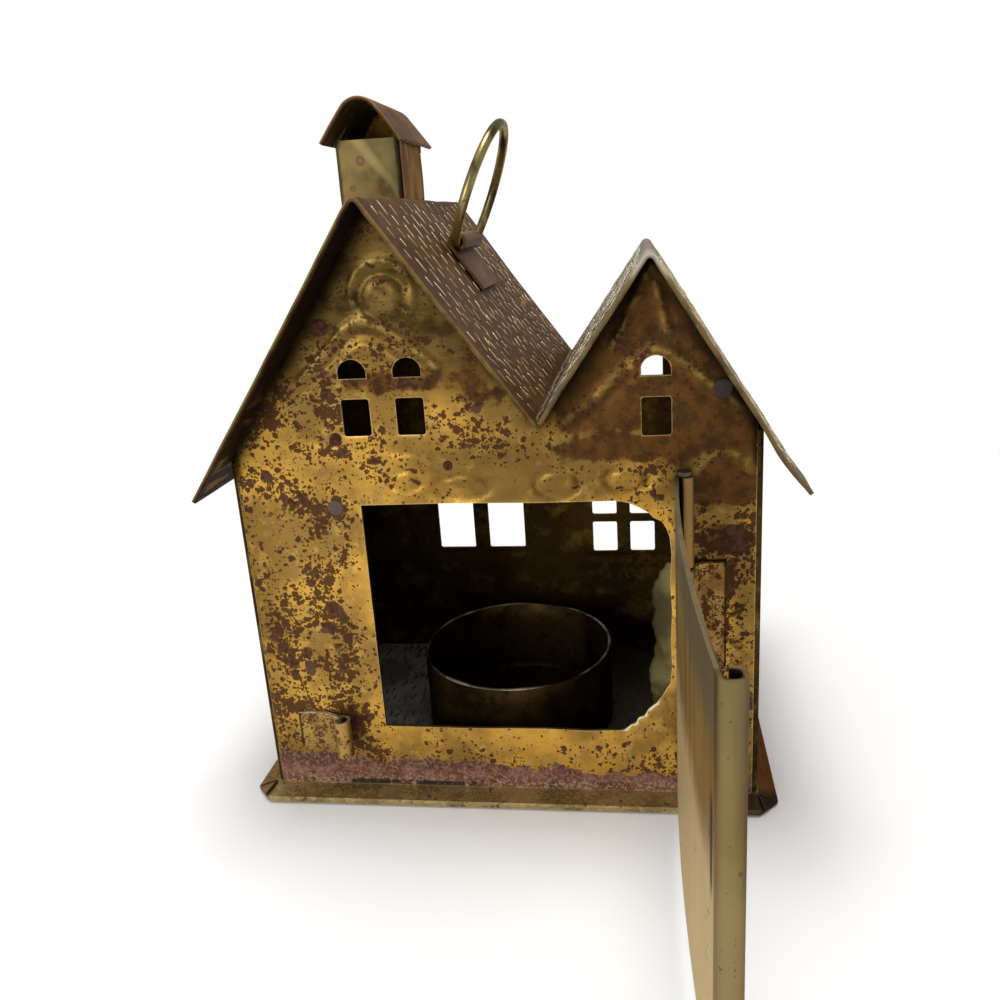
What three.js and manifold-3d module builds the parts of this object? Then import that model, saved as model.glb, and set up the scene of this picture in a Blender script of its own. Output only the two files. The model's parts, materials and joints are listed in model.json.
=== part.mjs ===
// House-shaped candle lantern of soldered sheet brass, with a hinged door and a wire hanging bail.
// Millimetres, +Z up, front of the house towards -Y.
// The origin is on the underside of the base plate, midway between the house walls.

import * as THREE from 'three';
import { mergeVertices } from 'three/addons/utils/BufferGeometryUtils.js';
import Module from 'manifold-3d';

const wasm = await Module();
wasm.setup();

// Sheet and fits
const WALL_SHEET = 0.7; // walls, chimney, cup, door and hinge leaves
const ROOF_SHEET = 0.8; // pressed roofing sheet
const FLOOR_SHEET = 0.6; // pressed floor sheet inside the house
const SEAT_GAP = 0.3; // solder gap between pieces that meet at an angle

// House body
const HOUSE_WIDTH = 100; // front wall, edge to edge
const HOUSE_DEPTH = 64; // outer face of the front wall to outer face of the back wall
const SIDE_GAP = 0.5; // dark line between a front wall edge and the side wall
const TAB_WIDTH = 5; // side wall tab soldered behind the front and back walls
const TAB_BEND = 0.8; // middle radius of the tab's bend

// Base plate
const BASE_THICK = 1.6; // under the walls
const BASE_RIM_THICK = 1.2; // at the outer edge
const BASE_FLANGE = 5; // past the house walls
const BASE_CLIP = 4; // cut off each corner
const BASE_SHOULDER = 0.3; // level strip outside the walls

// Roof line seen from the front, heights above the base plate's top
const MAIN_RIDGE_X = -18.2;
const MAIN_RIDGE_HEIGHT = 121.3;
const SMALL_RIDGE_X = 31.2;
const SMALL_RIDGE_HEIGHT = 109.7;
const VALLEY_X = 10.7;
const VALLEY_HEIGHT = 80.2;
const LEFT_EAVE_REACH = 5.7; // sideways past the walls
const LEFT_EAVE_HEIGHT = 66.9;
const RIGHT_EAVE_REACH = 8.2; // sideways past the walls
const RIGHT_EAVE_HEIGHT = 66.4;
const RIDGE_RADIUS = 1.5; // outside of the ridge bends
const FRONT_OVERHANG = 7.5;
const BACK_OVERHANG = 15;

// Gable windows in the front and back walls, heights above the base plate's top
const PANE_WIDTH = 5.4;
const PANE_HEIGHT = 7.1;
const ARCH_HEIGHT = 3.6;
const ARCH_GAP = 3.9; // between a square pane and the arch over it
const MAIN_PANE_X = [-24.2, -13.7];
const MAIN_PANE_SILL = 77;
const SMALL_PANE_X = 31.9;
const SMALL_PANE_SILL = 75.8;
const BACK_PANE_DROP = 2; // the back wall's gable windows sit lower

// Lower windows in the back wall, heights above the base plate's top
const TALL_PANE_WIDTH = 9.7;
const TALL_PANE_HEIGHT = 14.7;
const TALL_PANE_X = [-21.4, -7.7];
const TALL_PANE_SILL = 29.4;
const CROSS_PANE_WIDTH = 6.4;
const CROSS_PANE_HEIGHT = 8.4;
const CROSS_PANE_X = [18.8, 28.7];
const CROSS_PANE_SILL = 28;
const CROSS_BAR_HEIGHT = 2.1;

// Door opening in the front wall, heights above the base plate's top
const OPENING_LEFT = -25.3;
const OPENING_RIGHT = 33.6;
const OPENING_SILL = 14.3;
const OPENING_HEAD = 63.1;
const TORN_HEAD = [8, 5.5]; // rough cut corner on the hinge side: off the head, off the side
const TORN_SILL = [9, 11.5]; // the same at the sill

// Hinge, door and catch, heights above the base plate's top
const HINGE_X = 36.65;
const KNUCKLE_RADIUS = 1.7;
const PIN_RADIUS = 0.7;
const PIN_HEAD_RADIUS = 1.4;
const PIN_HEAD_THICK = 0.7;
const DOOR_LENGTH = 70.1; // hinge axis to latch tube axis
const DOOR_BOTTOM = 9.5;
const DOOR_TOP = 68.9;
const DOOR_BOW = 1.3; // the thin door sheet bulges inwards
const DOOR_CLEARANCE = 0.3; // bulge to front wall when the door is shut
const DOOR_OPEN_DEG = 91.2; // how far the door stands open
const UPPER_KNUCKLE_LENGTH = 17.3;
const LEAF_HEIGHT = 22.1;
const KNUCKLE_GAP = 0.3; // between knuckles along the pin, and at the pin's heads
const LEAF_RIGHT = 44.5; // free edge of the hinge leaf on the wall
const LEAF_FLAT_END = 40; // where the leaf starts its step out to the knuckle
const CATCH_BOTTOM = 9.4;
const CATCH_TOP = 17.6;
const CATCH_LEAF_LENGTH = 10.4; // free edge to the catch tube's axis
const CATCH_STEP_START = 4.8; // where the catch steps out, from the tube's axis
const STEP_RADIUS = 0.8; // middle radius of the bends in both leaves
const ROLL_TURN_DEG = 280; // how far a rolled edge goes round
const LATCH_GAP = 0.4; // between the door's latch tube and the catch tube

// Candle cup
const CUP_RADIUS = 21.8;
const CUP_HEIGHT = 18.6;
const CUP_X = -0.8;
const CUP_FROM_FRONT = 28.5; // cup axis behind the front wall

// Chimney
const STACK_WIDTH = 14;
const STACK_DEPTH = 19;
const STACK_X = -26.6;
const STACK_FROM_FRONT = 32; // its front face behind the front wall
const STACK_TOP = 132.6; // above the base plate's top
const CAP_SLOPE_DEG = 53;
const CAP_HALF_SPAN = 8.7;
const CAP_CROWN_RADIUS = 4.5;
const CAP_OVERHANG = 4; // past the stack, front and back

// Hanging bail and its strap
const WIRE_RADIUS = 1;
const BAIL_RADIUS = 15.4;
const BAIL_FOOT_HALF = 11.9; // half the straight foot, if its corners were sharp
const BAIL_CORNER_RADIUS = 2.5;
const BAIL_END_GAP = 0.3; // the wire's two ends meet inside the strap
const BAIL_FROM_FRONT = 38.5; // bail centre behind the front wall
const BAIL_FROM_RIDGE = 8.1; // strap roll sideways from the main ridge
const BAIL_LEAN_DEG = 22; // towards the valley
const STRAP_SHEET = 0.6;
const STRAP_WIDTH = 20;
const STRAP_LENGTH = 11; // down the slope from the roll

// Derived places
const FRONT_Y = -HOUSE_DEPTH / 2;
const BACK_Y = HOUSE_DEPTH / 2;
const HALF_WIDTH = HOUSE_WIDTH / 2;
const SIDE_INNER = HALF_WIDTH + SIDE_GAP;
const SIDE_OUTER = SIDE_INNER + WALL_SHEET;
const TOP = BASE_THICK; // walls and floor sheet stand here
const ROOF_FRONT_Y = FRONT_Y - FRONT_OVERHANG;
const ROOF_BACK_Y = BACK_Y + BACK_OVERHANG;
const ROLL_RADIUS = KNUCKLE_RADIUS - WALL_SHEET / 2; // middle of a rolled edge
const HINGE_Y = FRONT_Y - KNUCKLE_RADIUS - DOOR_BOW - DOOR_CLEARANCE;
const LATCH_X = HINGE_X - DOOR_LENGTH;
const DOOR_Z = [TOP + DOOR_BOTTOM, TOP + DOOR_TOP];
const LEAF_TOP_Z = DOOR_Z[1] - UPPER_KNUCKLE_LENGTH - KNUCKLE_GAP;
const LEAF_Z = [LEAF_TOP_Z - LEAF_HEIGHT, LEAF_TOP_Z];
const CATCH_Z = [TOP + CATCH_BOTTOM, TOP + CATCH_TOP];
const STACK_Y = [FRONT_Y + STACK_FROM_FRONT, FRONT_Y + STACK_FROM_FRONT + STACK_DEPTH];

const ARC_STEPS = 6; // straight steps in a bend
const LEAF_STEPS = 3; // straight steps in the leaves' small bends
const ROLL_STEPS = 24; // straight steps in a rolled edge
const CUP_STEPS = 48; // straight steps round the cup
const PIN_STEPS = 16; // straight steps round the hinge pin
const WIRE_STEPS = 5; // straight steps round half the bail wire
const BAIL_STEPS = 84; // straight steps along the bail

const rad = THREE.MathUtils.degToRad;
const point = (x, y) => new THREE.Vector2(x, y);
const direction = (from, to) => to.clone().sub(from).normalize();

// A line whose inner corners are rounded to one radius
function bentLine(points, radius, steps = ARC_STEPS) {
  const line = [points[0]];
  for (let i = 1; i < points.length - 1; i += 1) {
    const back = direction(points[i], points[i - 1]);
    const ahead = direction(points[i], points[i + 1]);
    const half = Math.acos(back.dot(ahead)) / 2;
    const middle = back.clone().add(ahead).normalize();
    const centre = points[i].clone().addScaledVector(middle, radius / Math.sin(half));
    const start = points[i].clone().addScaledVector(back, radius / Math.tan(half));
    const sweep = (Math.PI - 2 * half) * Math.sign(ahead.cross(back));
    const spoke = start.clone().sub(centre);
    for (let k = 0; k <= steps; k += 1) {
      const turned = spoke.clone().rotateAround(point(0, 0), (sweep * k) / steps);
      line.push(centre.clone().add(turned));
    }
  }
  line.push(points[points.length - 1]);
  return line;
}

// Points of an arc, without its first point
function arcPoints(centre, radius, fromDeg, sweepDeg, steps) {
  const points = [];
  for (let k = 1; k <= steps; k += 1) {
    const angle = rad(fromDeg + (sweepDeg * k) / steps);
    points.push(point(centre.x + radius * Math.cos(angle), centre.y + radius * Math.sin(angle)));
  }
  return points;
}

// The same line moved sideways, to the left of its direction
function offsetLine(points, distance) {
  const last = points.length - 1;
  return points.map((here, i) => {
    const before = i > 0 ? direction(points[i - 1], here) : direction(here, points[1]);
    const after = i < last ? direction(here, points[i + 1]) : before;
    const left = point(-before.y - after.y, before.x + after.x).normalize();
    const stretch = left.dot(point(-before.y, before.x));
    return here.clone().addScaledVector(left, distance / stretch);
  });
}

// Outline of a bent sheet between two offsets of one line
function sheetOutline(line, left, right) {
  return new THREE.Shape([...offsetLine(line, left), ...offsetLine(line, right).reverse()]);
}

// Height of a line, drawn from left to right, above one x
function heightAt(line, x) {
  const last = line.length - 2;
  const i = line.findIndex((p, k) => k === last || (k < last && line[k + 1].x >= x));
  const share = (x - line[i].x) / (line[i + 1].x - line[i].x);
  return line[i].y + share * (line[i + 1].y - line[i].y);
}

// An outline drawn seen from the front, made solid from one y to another
function alongY(shape, y0, y1) {
  const geometry = new THREE.ExtrudeGeometry(shape, {
    depth: y1 - y0, bevelEnabled: false, curveSegments: ARC_STEPS,
  });
  geometry.rotateX(Math.PI / 2);
  geometry.translate(0, y1, 0);
  return geometry;
}

// An outline drawn seen from above, made solid from one z to another
function alongZ(shape, z0, z1) {
  const geometry = new THREE.ExtrudeGeometry(shape, {
    depth: z1 - z0, bevelEnabled: false, curveSegments: ARC_STEPS,
  });
  geometry.translate(0, 0, z0);
  return geometry;
}

// A box between two corners
function boxBetween(low, high) {
  const size = high.map((value, i) => value - low[i]);
  const geometry = new THREE.BoxGeometry(...size);
  geometry.translate(...low.map((value, i) => value + size[i] / 2));
  return geometry;
}

// Outlines with equal numbers of points, one above another, closed by flat ends
function stacked(rings) {
  const count = rings[0].points.length;
  const positions = rings.flatMap(({ points, z }) => points.flatMap((p) => [p.x, p.y, z]));
  const index = [];
  for (let r = 0; r < rings.length - 1; r += 1) {
    for (let i = 0; i < count; i += 1) {
      const a = r * count + i;
      const b = r * count + ((i + 1) % count);
      index.push(a, b, b + count, a, b + count, a + count);
    }
  }
  const top = (rings.length - 1) * count;
  THREE.ShapeUtils.triangulateShape(rings[0].points, []).forEach(([a, b, c]) => index.push(c, b, a));
  const lid = THREE.ShapeUtils.triangulateShape(rings[rings.length - 1].points, []);
  lid.forEach(([a, b, c]) => index.push(top + a, top + b, top + c));
  const geometry = new THREE.BufferGeometry();
  geometry.setAttribute('position', new THREE.Float32BufferAttribute(positions, 3));
  geometry.setIndex(index);
  return geometry;
}

// A closed geometry as a solid that can be joined and cut
function solidOf(geometry) {
  const bare = geometry.clone();
  bare.deleteAttribute('normal');
  bare.deleteAttribute('uv');
  const merged = mergeVertices(bare);
  return new wasm.Manifold(new wasm.Mesh({
    numProp: 3,
    vertProperties: new Float32Array(merged.attributes.position.array),
    triVerts: new Uint32Array(merged.index.array),
  }));
}

// A joined or cut solid as a geometry again
function geometryOf(solid) {
  const mesh = solid.getMesh();
  const geometry = new THREE.BufferGeometry();
  geometry.setAttribute('position', new THREE.BufferAttribute(mesh.vertProperties, 3));
  geometry.setIndex(new THREE.BufferAttribute(mesh.triVerts, 1));
  return geometry;
}

// Finishes
const finish = (color, roughness) => new THREE.MeshStandardMaterial({ color, roughness, metalness: 1 });
const goldBrass = finish(0xb08a3c, 0.42);
const brownBrass = finish(0x86673a, 0.5);
const roofBrass = finish(0x6e5448, 0.45);
const oliveBrass = finish(0x7a6a3e, 0.48);
const darkBrass = finish(0x4a3d26, 0.6);
const brightBrass = finish(0xc2a050, 0.25);
const steelWire = finish(0x5c5548, 0.5);

function piece(name, geometry, material) {
  const mesh = new THREE.Mesh(geometry, material);
  mesh.name = name;
  return mesh;
}

// Roof line: the top face of both roof sheets, from the left eave to the right one
const leftEave = point(-HALF_WIDTH - LEFT_EAVE_REACH, TOP + LEFT_EAVE_HEIGHT);
const mainRidge = point(MAIN_RIDGE_X, TOP + MAIN_RIDGE_HEIGHT);
const valley = point(VALLEY_X, TOP + VALLEY_HEIGHT);
const smallRidge = point(SMALL_RIDGE_X, TOP + SMALL_RIDGE_HEIGHT);
const rightEave = point(HALF_WIDTH + RIGHT_EAVE_REACH, TOP + RIGHT_EAVE_HEIGHT);
const mainTop = bentLine([leftEave, mainRidge, valley], RIDGE_RADIUS);
const smallTop = bentLine([valley, smallRidge, rightEave], RIDGE_RADIUS);
const roofTop = [...mainTop, ...smallTop.slice(1)];
const underRoof = offsetLine(roofTop, -(ROOF_SHEET + SEAT_GAP));

function makeMainRoof() {
  const shape = sheetOutline(mainTop, 0, -ROOF_SHEET);
  return piece('main_roof', alongY(shape, ROOF_FRONT_Y, ROOF_BACK_Y), roofBrass);
}

// Its lower left edge stops a solder gap short of the main roof, in the valley
function makeSmallRoof() {
  const start = valley.clone().addScaledVector(direction(valley, smallRidge), SEAT_GAP);
  const line = bentLine([start, smallRidge, rightEave], RIDGE_RADIUS);
  const shape = sheetOutline(line, 0, -ROOF_SHEET);
  return piece('small_roof', alongY(shape, ROOF_FRONT_Y, ROOF_BACK_Y), roofBrass);
}

// Outline of a rectangular window
function paneOutline(centreX, sill, width, height) {
  const half = width / 2;
  return new THREE.Shape([
    point(centreX - half, sill),
    point(centreX + half, sill),
    point(centreX + half, sill + height),
    point(centreX - half, sill + height),
  ]);
}

// Outline of a window with a half-round head
function archOutline(centreX, sill) {
  const radius = PANE_WIDTH / 2;
  const spring = sill + ARCH_HEIGHT - radius;
  const head = arcPoints(point(centreX, spring), radius, 0, 180, 2 * ARC_STEPS);
  return new THREE.Shape([
    point(centreX - radius, sill),
    point(centreX + radius, sill),
    point(centreX + radius, spring),
    ...head,
  ]);
}

// The three gable windows, each a square pane with an arch over it
function gableWindows(drop) {
  const places = [...MAIN_PANE_X.map((x) => [x, MAIN_PANE_SILL]), [SMALL_PANE_X, SMALL_PANE_SILL]];
  return places.flatMap(([x, sill]) => {
    const low = TOP + sill - drop;
    const arch = archOutline(x, low + PANE_HEIGHT + ARCH_GAP);
    return [paneOutline(x, low, PANE_WIDTH, PANE_HEIGHT), arch];
  });
}

// Outline of the front and back walls, up to the underside of the roof
function gableOutline() {
  const inside = underRoof.filter((p) => Math.abs(p.x) < HALF_WIDTH);
  return new THREE.Shape([
    point(-HALF_WIDTH, TOP),
    point(HALF_WIDTH, TOP),
    point(HALF_WIDTH, heightAt(underRoof, HALF_WIDTH)),
    ...inside.reverse(),
    point(-HALF_WIDTH, heightAt(underRoof, -HALF_WIDTH)),
  ]);
}

// A gable wall from one y to another, with holes cut right through it
function gableWall(name, y0, y1, holes) {
  const wall = holes.reduce(
    (solid, hole) => solid.subtract(solidOf(alongY(hole, y0 - WALL_SHEET, y1 + WALL_SHEET))),
    solidOf(alongY(gableOutline(), y0, y1)),
  );
  return piece(name, geometryOf(wall), goldBrass);
}

function makeFrontWall() {
  const sill = TOP + OPENING_SILL;
  const head = TOP + OPENING_HEAD;
  const opening = new THREE.Shape([
    point(OPENING_LEFT, sill),
    point(OPENING_RIGHT - TORN_SILL[0], sill),
    point(OPENING_RIGHT, sill + TORN_SILL[1]),
    point(OPENING_RIGHT, head - TORN_HEAD[1]),
    point(OPENING_RIGHT - TORN_HEAD[0], head),
    point(OPENING_LEFT, head),
  ]);
  const holes = [opening, ...gableWindows(0)];
  return gableWall('front_wall', FRONT_Y, FRONT_Y + WALL_SHEET, holes);
}

function makeBackWall() {
  const tallPanes = TALL_PANE_X.map((x) => (
    paneOutline(x, TOP + TALL_PANE_SILL, TALL_PANE_WIDTH, TALL_PANE_HEIGHT)
  ));
  const crossPanes = CROSS_PANE_X.flatMap((x) => [0, 1].map((row) => {
    const sill = TOP + CROSS_PANE_SILL + row * (CROSS_PANE_HEIGHT + CROSS_BAR_HEIGHT);
    return paneOutline(x, sill, CROSS_PANE_WIDTH, CROSS_PANE_HEIGHT);
  }));
  const holes = [...tallPanes, ...crossPanes, ...gableWindows(BACK_PANE_DROP)];
  return gableWall('back_wall', BACK_Y - WALL_SHEET, BACK_Y, holes);
}

// A side wall: a flat web with a tab bent in behind the front wall and the back wall
function makeSideWall(name, side) {
  const webX = SIDE_INNER + WALL_SHEET / 2;
  const tabY = BACK_Y - WALL_SHEET - WALL_SHEET / 2;
  const tabX = SIDE_OUTER - WALL_SHEET - TAB_WIDTH;
  const line = bentLine([
    point(side * tabX, -tabY),
    point(side * webX, -tabY),
    point(side * webX, tabY),
    point(side * tabX, tabY),
  ], TAB_BEND);
  const shape = sheetOutline(line, WALL_SHEET / 2, -WALL_SHEET / 2);
  const top = heightAt(underRoof, side * SIDE_OUTER);
  return piece(name, alongZ(shape, TOP, top), goldBrass);
}

// A rectangle with its corners cut off
function clippedRectangle(halfX, halfY, clip) {
  return [
    point(-halfX + clip, -halfY), point(halfX - clip, -halfY),
    point(halfX, -halfY + clip), point(halfX, halfY - clip),
    point(halfX - clip, halfY), point(-halfX + clip, halfY),
    point(-halfX, halfY - clip), point(-halfX, -halfY + clip),
  ];
}

function makeBasePlate() {
  const rim = clippedRectangle(HALF_WIDTH + BASE_FLANGE, BACK_Y + BASE_FLANGE, BASE_CLIP);
  const levelX = SIDE_OUTER + BASE_SHOULDER;
  const levelY = BACK_Y + BASE_SHOULDER;
  const level = clippedRectangle(levelX, levelY, BASE_SHOULDER);
  const geometry = stacked([
    { points: rim, z: 0 },
    { points: rim, z: BASE_RIM_THICK },
    { points: level, z: BASE_THICK },
  ]);
  return piece('base_plate', geometry, oliveBrass);
}

function makeFloorPlate() {
  const halfX = SIDE_INNER - SEAT_GAP;
  const halfY = BACK_Y - 2 * WALL_SHEET - SEAT_GAP;
  const geometry = boxBetween([-halfX, -halfY, TOP], [halfX, halfY, TOP + FLOOR_SHEET]);
  return piece('floor_plate', geometry, darkBrass);
}

function makeCandleCup() {
  const floor = TOP + FLOOR_SHEET;
  const rim = floor + CUP_HEIGHT;
  const inner = CUP_RADIUS - WALL_SHEET;
  const profile = [
    point(0, floor), point(CUP_RADIUS, floor), point(CUP_RADIUS, rim),
    point(inner, rim), point(inner, floor + WALL_SHEET), point(0, floor + WALL_SHEET),
  ];
  const geometry = new THREE.LatheGeometry(profile, CUP_STEPS);
  geometry.rotateX(Math.PI / 2);
  geometry.translate(CUP_X, FRONT_Y + CUP_FROM_FRONT, 0);
  return piece('candle_cup', geometry, darkBrass);
}

// A leaf lying on the front wall that steps out and rolls round an upright axis.
// The roll is drawn at the origin, and turn is 1 where the leaf comes from the right.
function leafOutline(freeEdge, stepStart, turn) {
  const wallY = -HINGE_Y + FRONT_Y - WALL_SHEET / 2;
  const line = bentLine([
    point(turn * freeEdge, wallY),
    point(turn * stepStart, wallY),
    point(turn * ROLL_RADIUS, ROLL_RADIUS),
    point(0, ROLL_RADIUS),
  ], STEP_RADIUS, LEAF_STEPS);
  line.push(...arcPoints(point(0, 0), ROLL_RADIUS, 90, turn * ROLL_TURN_DEG, ROLL_STEPS));
  return sheetOutline(line, WALL_SHEET / 2, -WALL_SHEET / 2);
}

function makeHingeLeaf() {
  const shape = leafOutline(LEAF_RIGHT - HINGE_X, LEAF_FLAT_END - HINGE_X, 1);
  const mesh = piece('hinge_leaf', alongZ(shape, ...LEAF_Z), goldBrass);
  mesh.position.set(HINGE_X, HINGE_Y, 0);
  return mesh;
}

function makeCatch() {
  const shape = leafOutline(CATCH_LEAF_LENGTH, CATCH_STEP_START, -1);
  const mesh = piece('catch_leaf', alongZ(shape, ...CATCH_Z), goldBrass);
  mesh.position.set(LATCH_X, HINGE_Y, 0);
  return mesh;
}

function makeHingePin() {
  const low = DOOR_Z[0] - KNUCKLE_GAP;
  const high = DOOR_Z[1] + KNUCKLE_GAP;
  const profile = [
    point(0, low - PIN_HEAD_THICK), point(PIN_HEAD_RADIUS, low - PIN_HEAD_THICK),
    point(PIN_HEAD_RADIUS, low), point(PIN_RADIUS, low),
    point(PIN_RADIUS, high), point(PIN_HEAD_RADIUS, high),
    point(PIN_HEAD_RADIUS, high + PIN_HEAD_THICK), point(0, high + PIN_HEAD_THICK),
  ];
  const geometry = new THREE.LatheGeometry(profile, PIN_STEPS);
  geometry.rotateX(Math.PI / 2);
  const mesh = piece('hinge_pin', geometry, steelWire);
  mesh.position.set(HINGE_X, HINGE_Y, 0);
  return mesh;
}

// The door, drawn shut with its hinge axis at the origin: one bowed sheet whose hinge edge
// rolls round the pin and whose free edge rolls into the latch tube.
function makeDoor() {
  const hingeRoll = arcPoints(point(0, 0), ROLL_RADIUS, 90, -ROLL_TURN_DEG, ROLL_STEPS);
  const latch = point(-DOOR_LENGTH, 0);
  const latchRoll = arcPoints(latch, ROLL_RADIUS, 90, ROLL_TURN_DEG, ROLL_STEPS);
  const bow = new THREE.QuadraticBezierCurve(
    point(-DOOR_LENGTH, ROLL_RADIUS),
    point(-DOOR_LENGTH / 2, ROLL_RADIUS + 2 * DOOR_BOW),
    point(0, ROLL_RADIUS),
  );
  const line = [...latchRoll.reverse(), ...bow.getPoints(2 * ARC_STEPS), ...hingeRoll];
  const shape = sheetOutline(line, WALL_SHEET / 2, -WALL_SHEET / 2);
  const reach = 2 * KNUCKLE_RADIUS;
  const clear = KNUCKLE_RADIUS + LATCH_GAP;
  const leafNotch = boxBetween(
    [-clear, -reach, LEAF_Z[0] - KNUCKLE_GAP],
    [reach, reach, LEAF_Z[1] + KNUCKLE_GAP],
  );
  const catchNotch = boxBetween(
    [-DOOR_LENGTH - reach, -reach, DOOR_Z[0] - reach],
    [-DOOR_LENGTH + clear, reach, CATCH_Z[1] + LATCH_GAP],
  );
  const whole = solidOf(alongZ(shape, ...DOOR_Z));
  const cut = whole.subtract(solidOf(leafNotch)).subtract(solidOf(catchNotch));
  const hinge = new THREE.Group();
  hinge.position.set(HINGE_X, HINGE_Y, 0);
  hinge.rotation.z = rad(DOOR_OPEN_DEG);
  hinge.add(piece('door_panel', geometryOf(cut), brownBrass));
  return hinge;
}

// Section of the chimney cap, whose legs rest on the stack's upper edges
const capSlope = Math.tan(rad(CAP_SLOPE_DEG));
const capApexZ = TOP + STACK_TOP + (WALL_SHEET + SEAT_GAP) / Math.cos(rad(CAP_SLOPE_DEG))
  + (STACK_WIDTH / 2) * capSlope;
const capFootZ = capApexZ - CAP_HALF_SPAN * capSlope;
const capLine = bentLine([
  point(STACK_X - CAP_HALF_SPAN, capFootZ),
  point(STACK_X, capApexZ),
  point(STACK_X + CAP_HALF_SPAN, capFootZ),
], CAP_CROWN_RADIUS, 2 * ARC_STEPS);

// The open chimney tube, its foot cut to the roof slope, its back carried up under the cap
function makeChimneyStack() {
  const half = STACK_WIDTH / 2;
  const [front, back] = STACK_Y;
  const inset = WALL_SHEET;
  const top = TOP + STACK_TOP;
  const outer = boxBetween([STACK_X - half, front, leftEave.y], [STACK_X + half, back, top]);
  const bore = boxBetween(
    [STACK_X - half + inset, front + inset, leftEave.y - STACK_WIDTH],
    [STACK_X + half - inset, back - inset, top + STACK_WIDTH],
  );
  const seat = offsetLine([leftEave, mainRidge], SEAT_GAP);
  const below = new THREE.Shape([
    point(seat[0].x, seat[0].y - STACK_DEPTH), point(seat[1].x, seat[0].y - STACK_DEPTH), seat[1], seat[0],
  ]);
  const roof = alongY(below, front - STACK_DEPTH, back + STACK_DEPTH);
  const tube = solidOf(outer).subtract(solidOf(bore)).subtract(solidOf(roof));
  const underCap = offsetLine(capLine, -(WALL_SHEET + SEAT_GAP));
  const gable = new THREE.Shape([
    point(STACK_X - half, top - inset),
    point(STACK_X + half, top - inset),
    point(STACK_X + half, top),
    ...underCap.filter((p) => Math.abs(p.x - STACK_X) < half && p.y > top).reverse(),
    point(STACK_X - half, top),
  ]);
  const closed = tube.add(solidOf(alongY(gable, back - inset, back)));
  return piece('chimney_stack', geometryOf(closed), brownBrass);
}

function makeChimneyCap() {
  const shape = sheetOutline(capLine, 0, -WALL_SHEET);
  const geometry = alongY(shape, STACK_Y[0] - CAP_OVERHANG, STACK_Y[1] + CAP_OVERHANG);
  return piece('chimney_cap', geometry, brownBrass);
}

// Strap and bail, drawn at the strap roll's axis on the main roof's right slope
const rightSlope = direction(mainRidge, valley);
const slopeNormal = point(-rightSlope.y, rightSlope.x);
const strapRoll = WIRE_RADIUS + SEAT_GAP + STRAP_SHEET / 2; // middle radius
const rollHeight = SEAT_GAP + STRAP_SHEET / 2 + strapRoll; // axis above the slope
const bailFoot = mainRidge.clone()
  .addScaledVector(rightSlope, BAIL_FROM_RIDGE / rightSlope.x)
  .addScaledVector(slopeNormal, rollHeight);
const BAIL_Y = FRONT_Y + BAIL_FROM_FRONT;

function makeStrap() {
  const along = (s, n) => bailFoot.clone().addScaledVector(rightSlope, s).addScaledVector(slopeNormal, n);
  const slopeDeg = THREE.MathUtils.radToDeg(Math.atan2(slopeNormal.y, slopeNormal.x));
  const line = [along(STRAP_LENGTH, -strapRoll), along(0, -strapRoll)];
  line.push(...arcPoints(bailFoot, strapRoll, slopeDeg + 180, -ROLL_TURN_DEG, ROLL_STEPS));
  const shape = sheetOutline(line, STRAP_SHEET / 2, -STRAP_SHEET / 2);
  const half = STRAP_WIDTH / 2;
  return piece('ring_strap', alongY(shape, BAIL_Y - half, BAIL_Y + half), roofBrass);
}

// A flat path stood upright across the house
class UprightCurve extends THREE.Curve {
  constructor(path) {
    super();
    this.path = path;
  }

  getPoint(t, target = new THREE.Vector3()) {
    const p = this.path.getPointAt(t);
    return target.set(0, p.x, p.y);
  }
}

// The bail: a straight foot through the strap and one round bow of wire
function makeBail() {
  const centre = Math.sqrt(BAIL_RADIUS ** 2 - BAIL_FOOT_HALF ** 2);
  const corner = BAIL_CORNER_RADIUS;
  const footEnd = Math.sqrt((BAIL_RADIUS - corner) ** 2 - (centre - corner) ** 2);
  const join = Math.atan2(corner - centre, footEnd);
  const path = new THREE.Path();
  path.moveTo(BAIL_END_GAP / 2, 0);
  path.lineTo(footEnd, 0);
  path.absarc(footEnd, corner, corner, -Math.PI / 2, join, false);
  path.absarc(0, centre, BAIL_RADIUS, join, Math.PI - join, false);
  path.absarc(-footEnd, corner, corner, Math.PI - join, (3 * Math.PI) / 2, false);
  path.lineTo(-BAIL_END_GAP / 2, 0);
  const section = new THREE.Shape();
  section.absarc(0, 0, WIRE_RADIUS, 0, 2 * Math.PI, false);
  const geometry = new THREE.ExtrudeGeometry(section, {
    steps: BAIL_STEPS,
    bevelEnabled: false,
    curveSegments: WIRE_STEPS,
    extrudePath: new UprightCurve(path),
  });
  const lean = new THREE.Group();
  lean.position.set(bailFoot.x, BAIL_Y, bailFoot.y);
  lean.rotation.y = rad(BAIL_LEAN_DEG);
  lean.add(piece('hanging_ring', geometry, brightBrass));
  return lean;
}

const lantern = new THREE.Group();
lantern.add(
  makeBasePlate(),
  makeFloorPlate(),
  makeFrontWall(),
  makeBackWall(),
  makeSideWall('left_side_wall', -1),
  makeSideWall('right_side_wall', 1),
  makeMainRoof(),
  makeSmallRoof(),
  makeChimneyStack(),
  makeChimneyCap(),
  makeStrap(),
  makeBail(),
  makeCandleCup(),
  makeHingeLeaf(),
  makeHingePin(),
  makeDoor(),
  makeCatch(),
);

export default lantern;
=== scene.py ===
import json
import math
import random

import bmesh
import bpy
import numpy as np
from mathutils import Matrix, Vector, geometry

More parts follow.
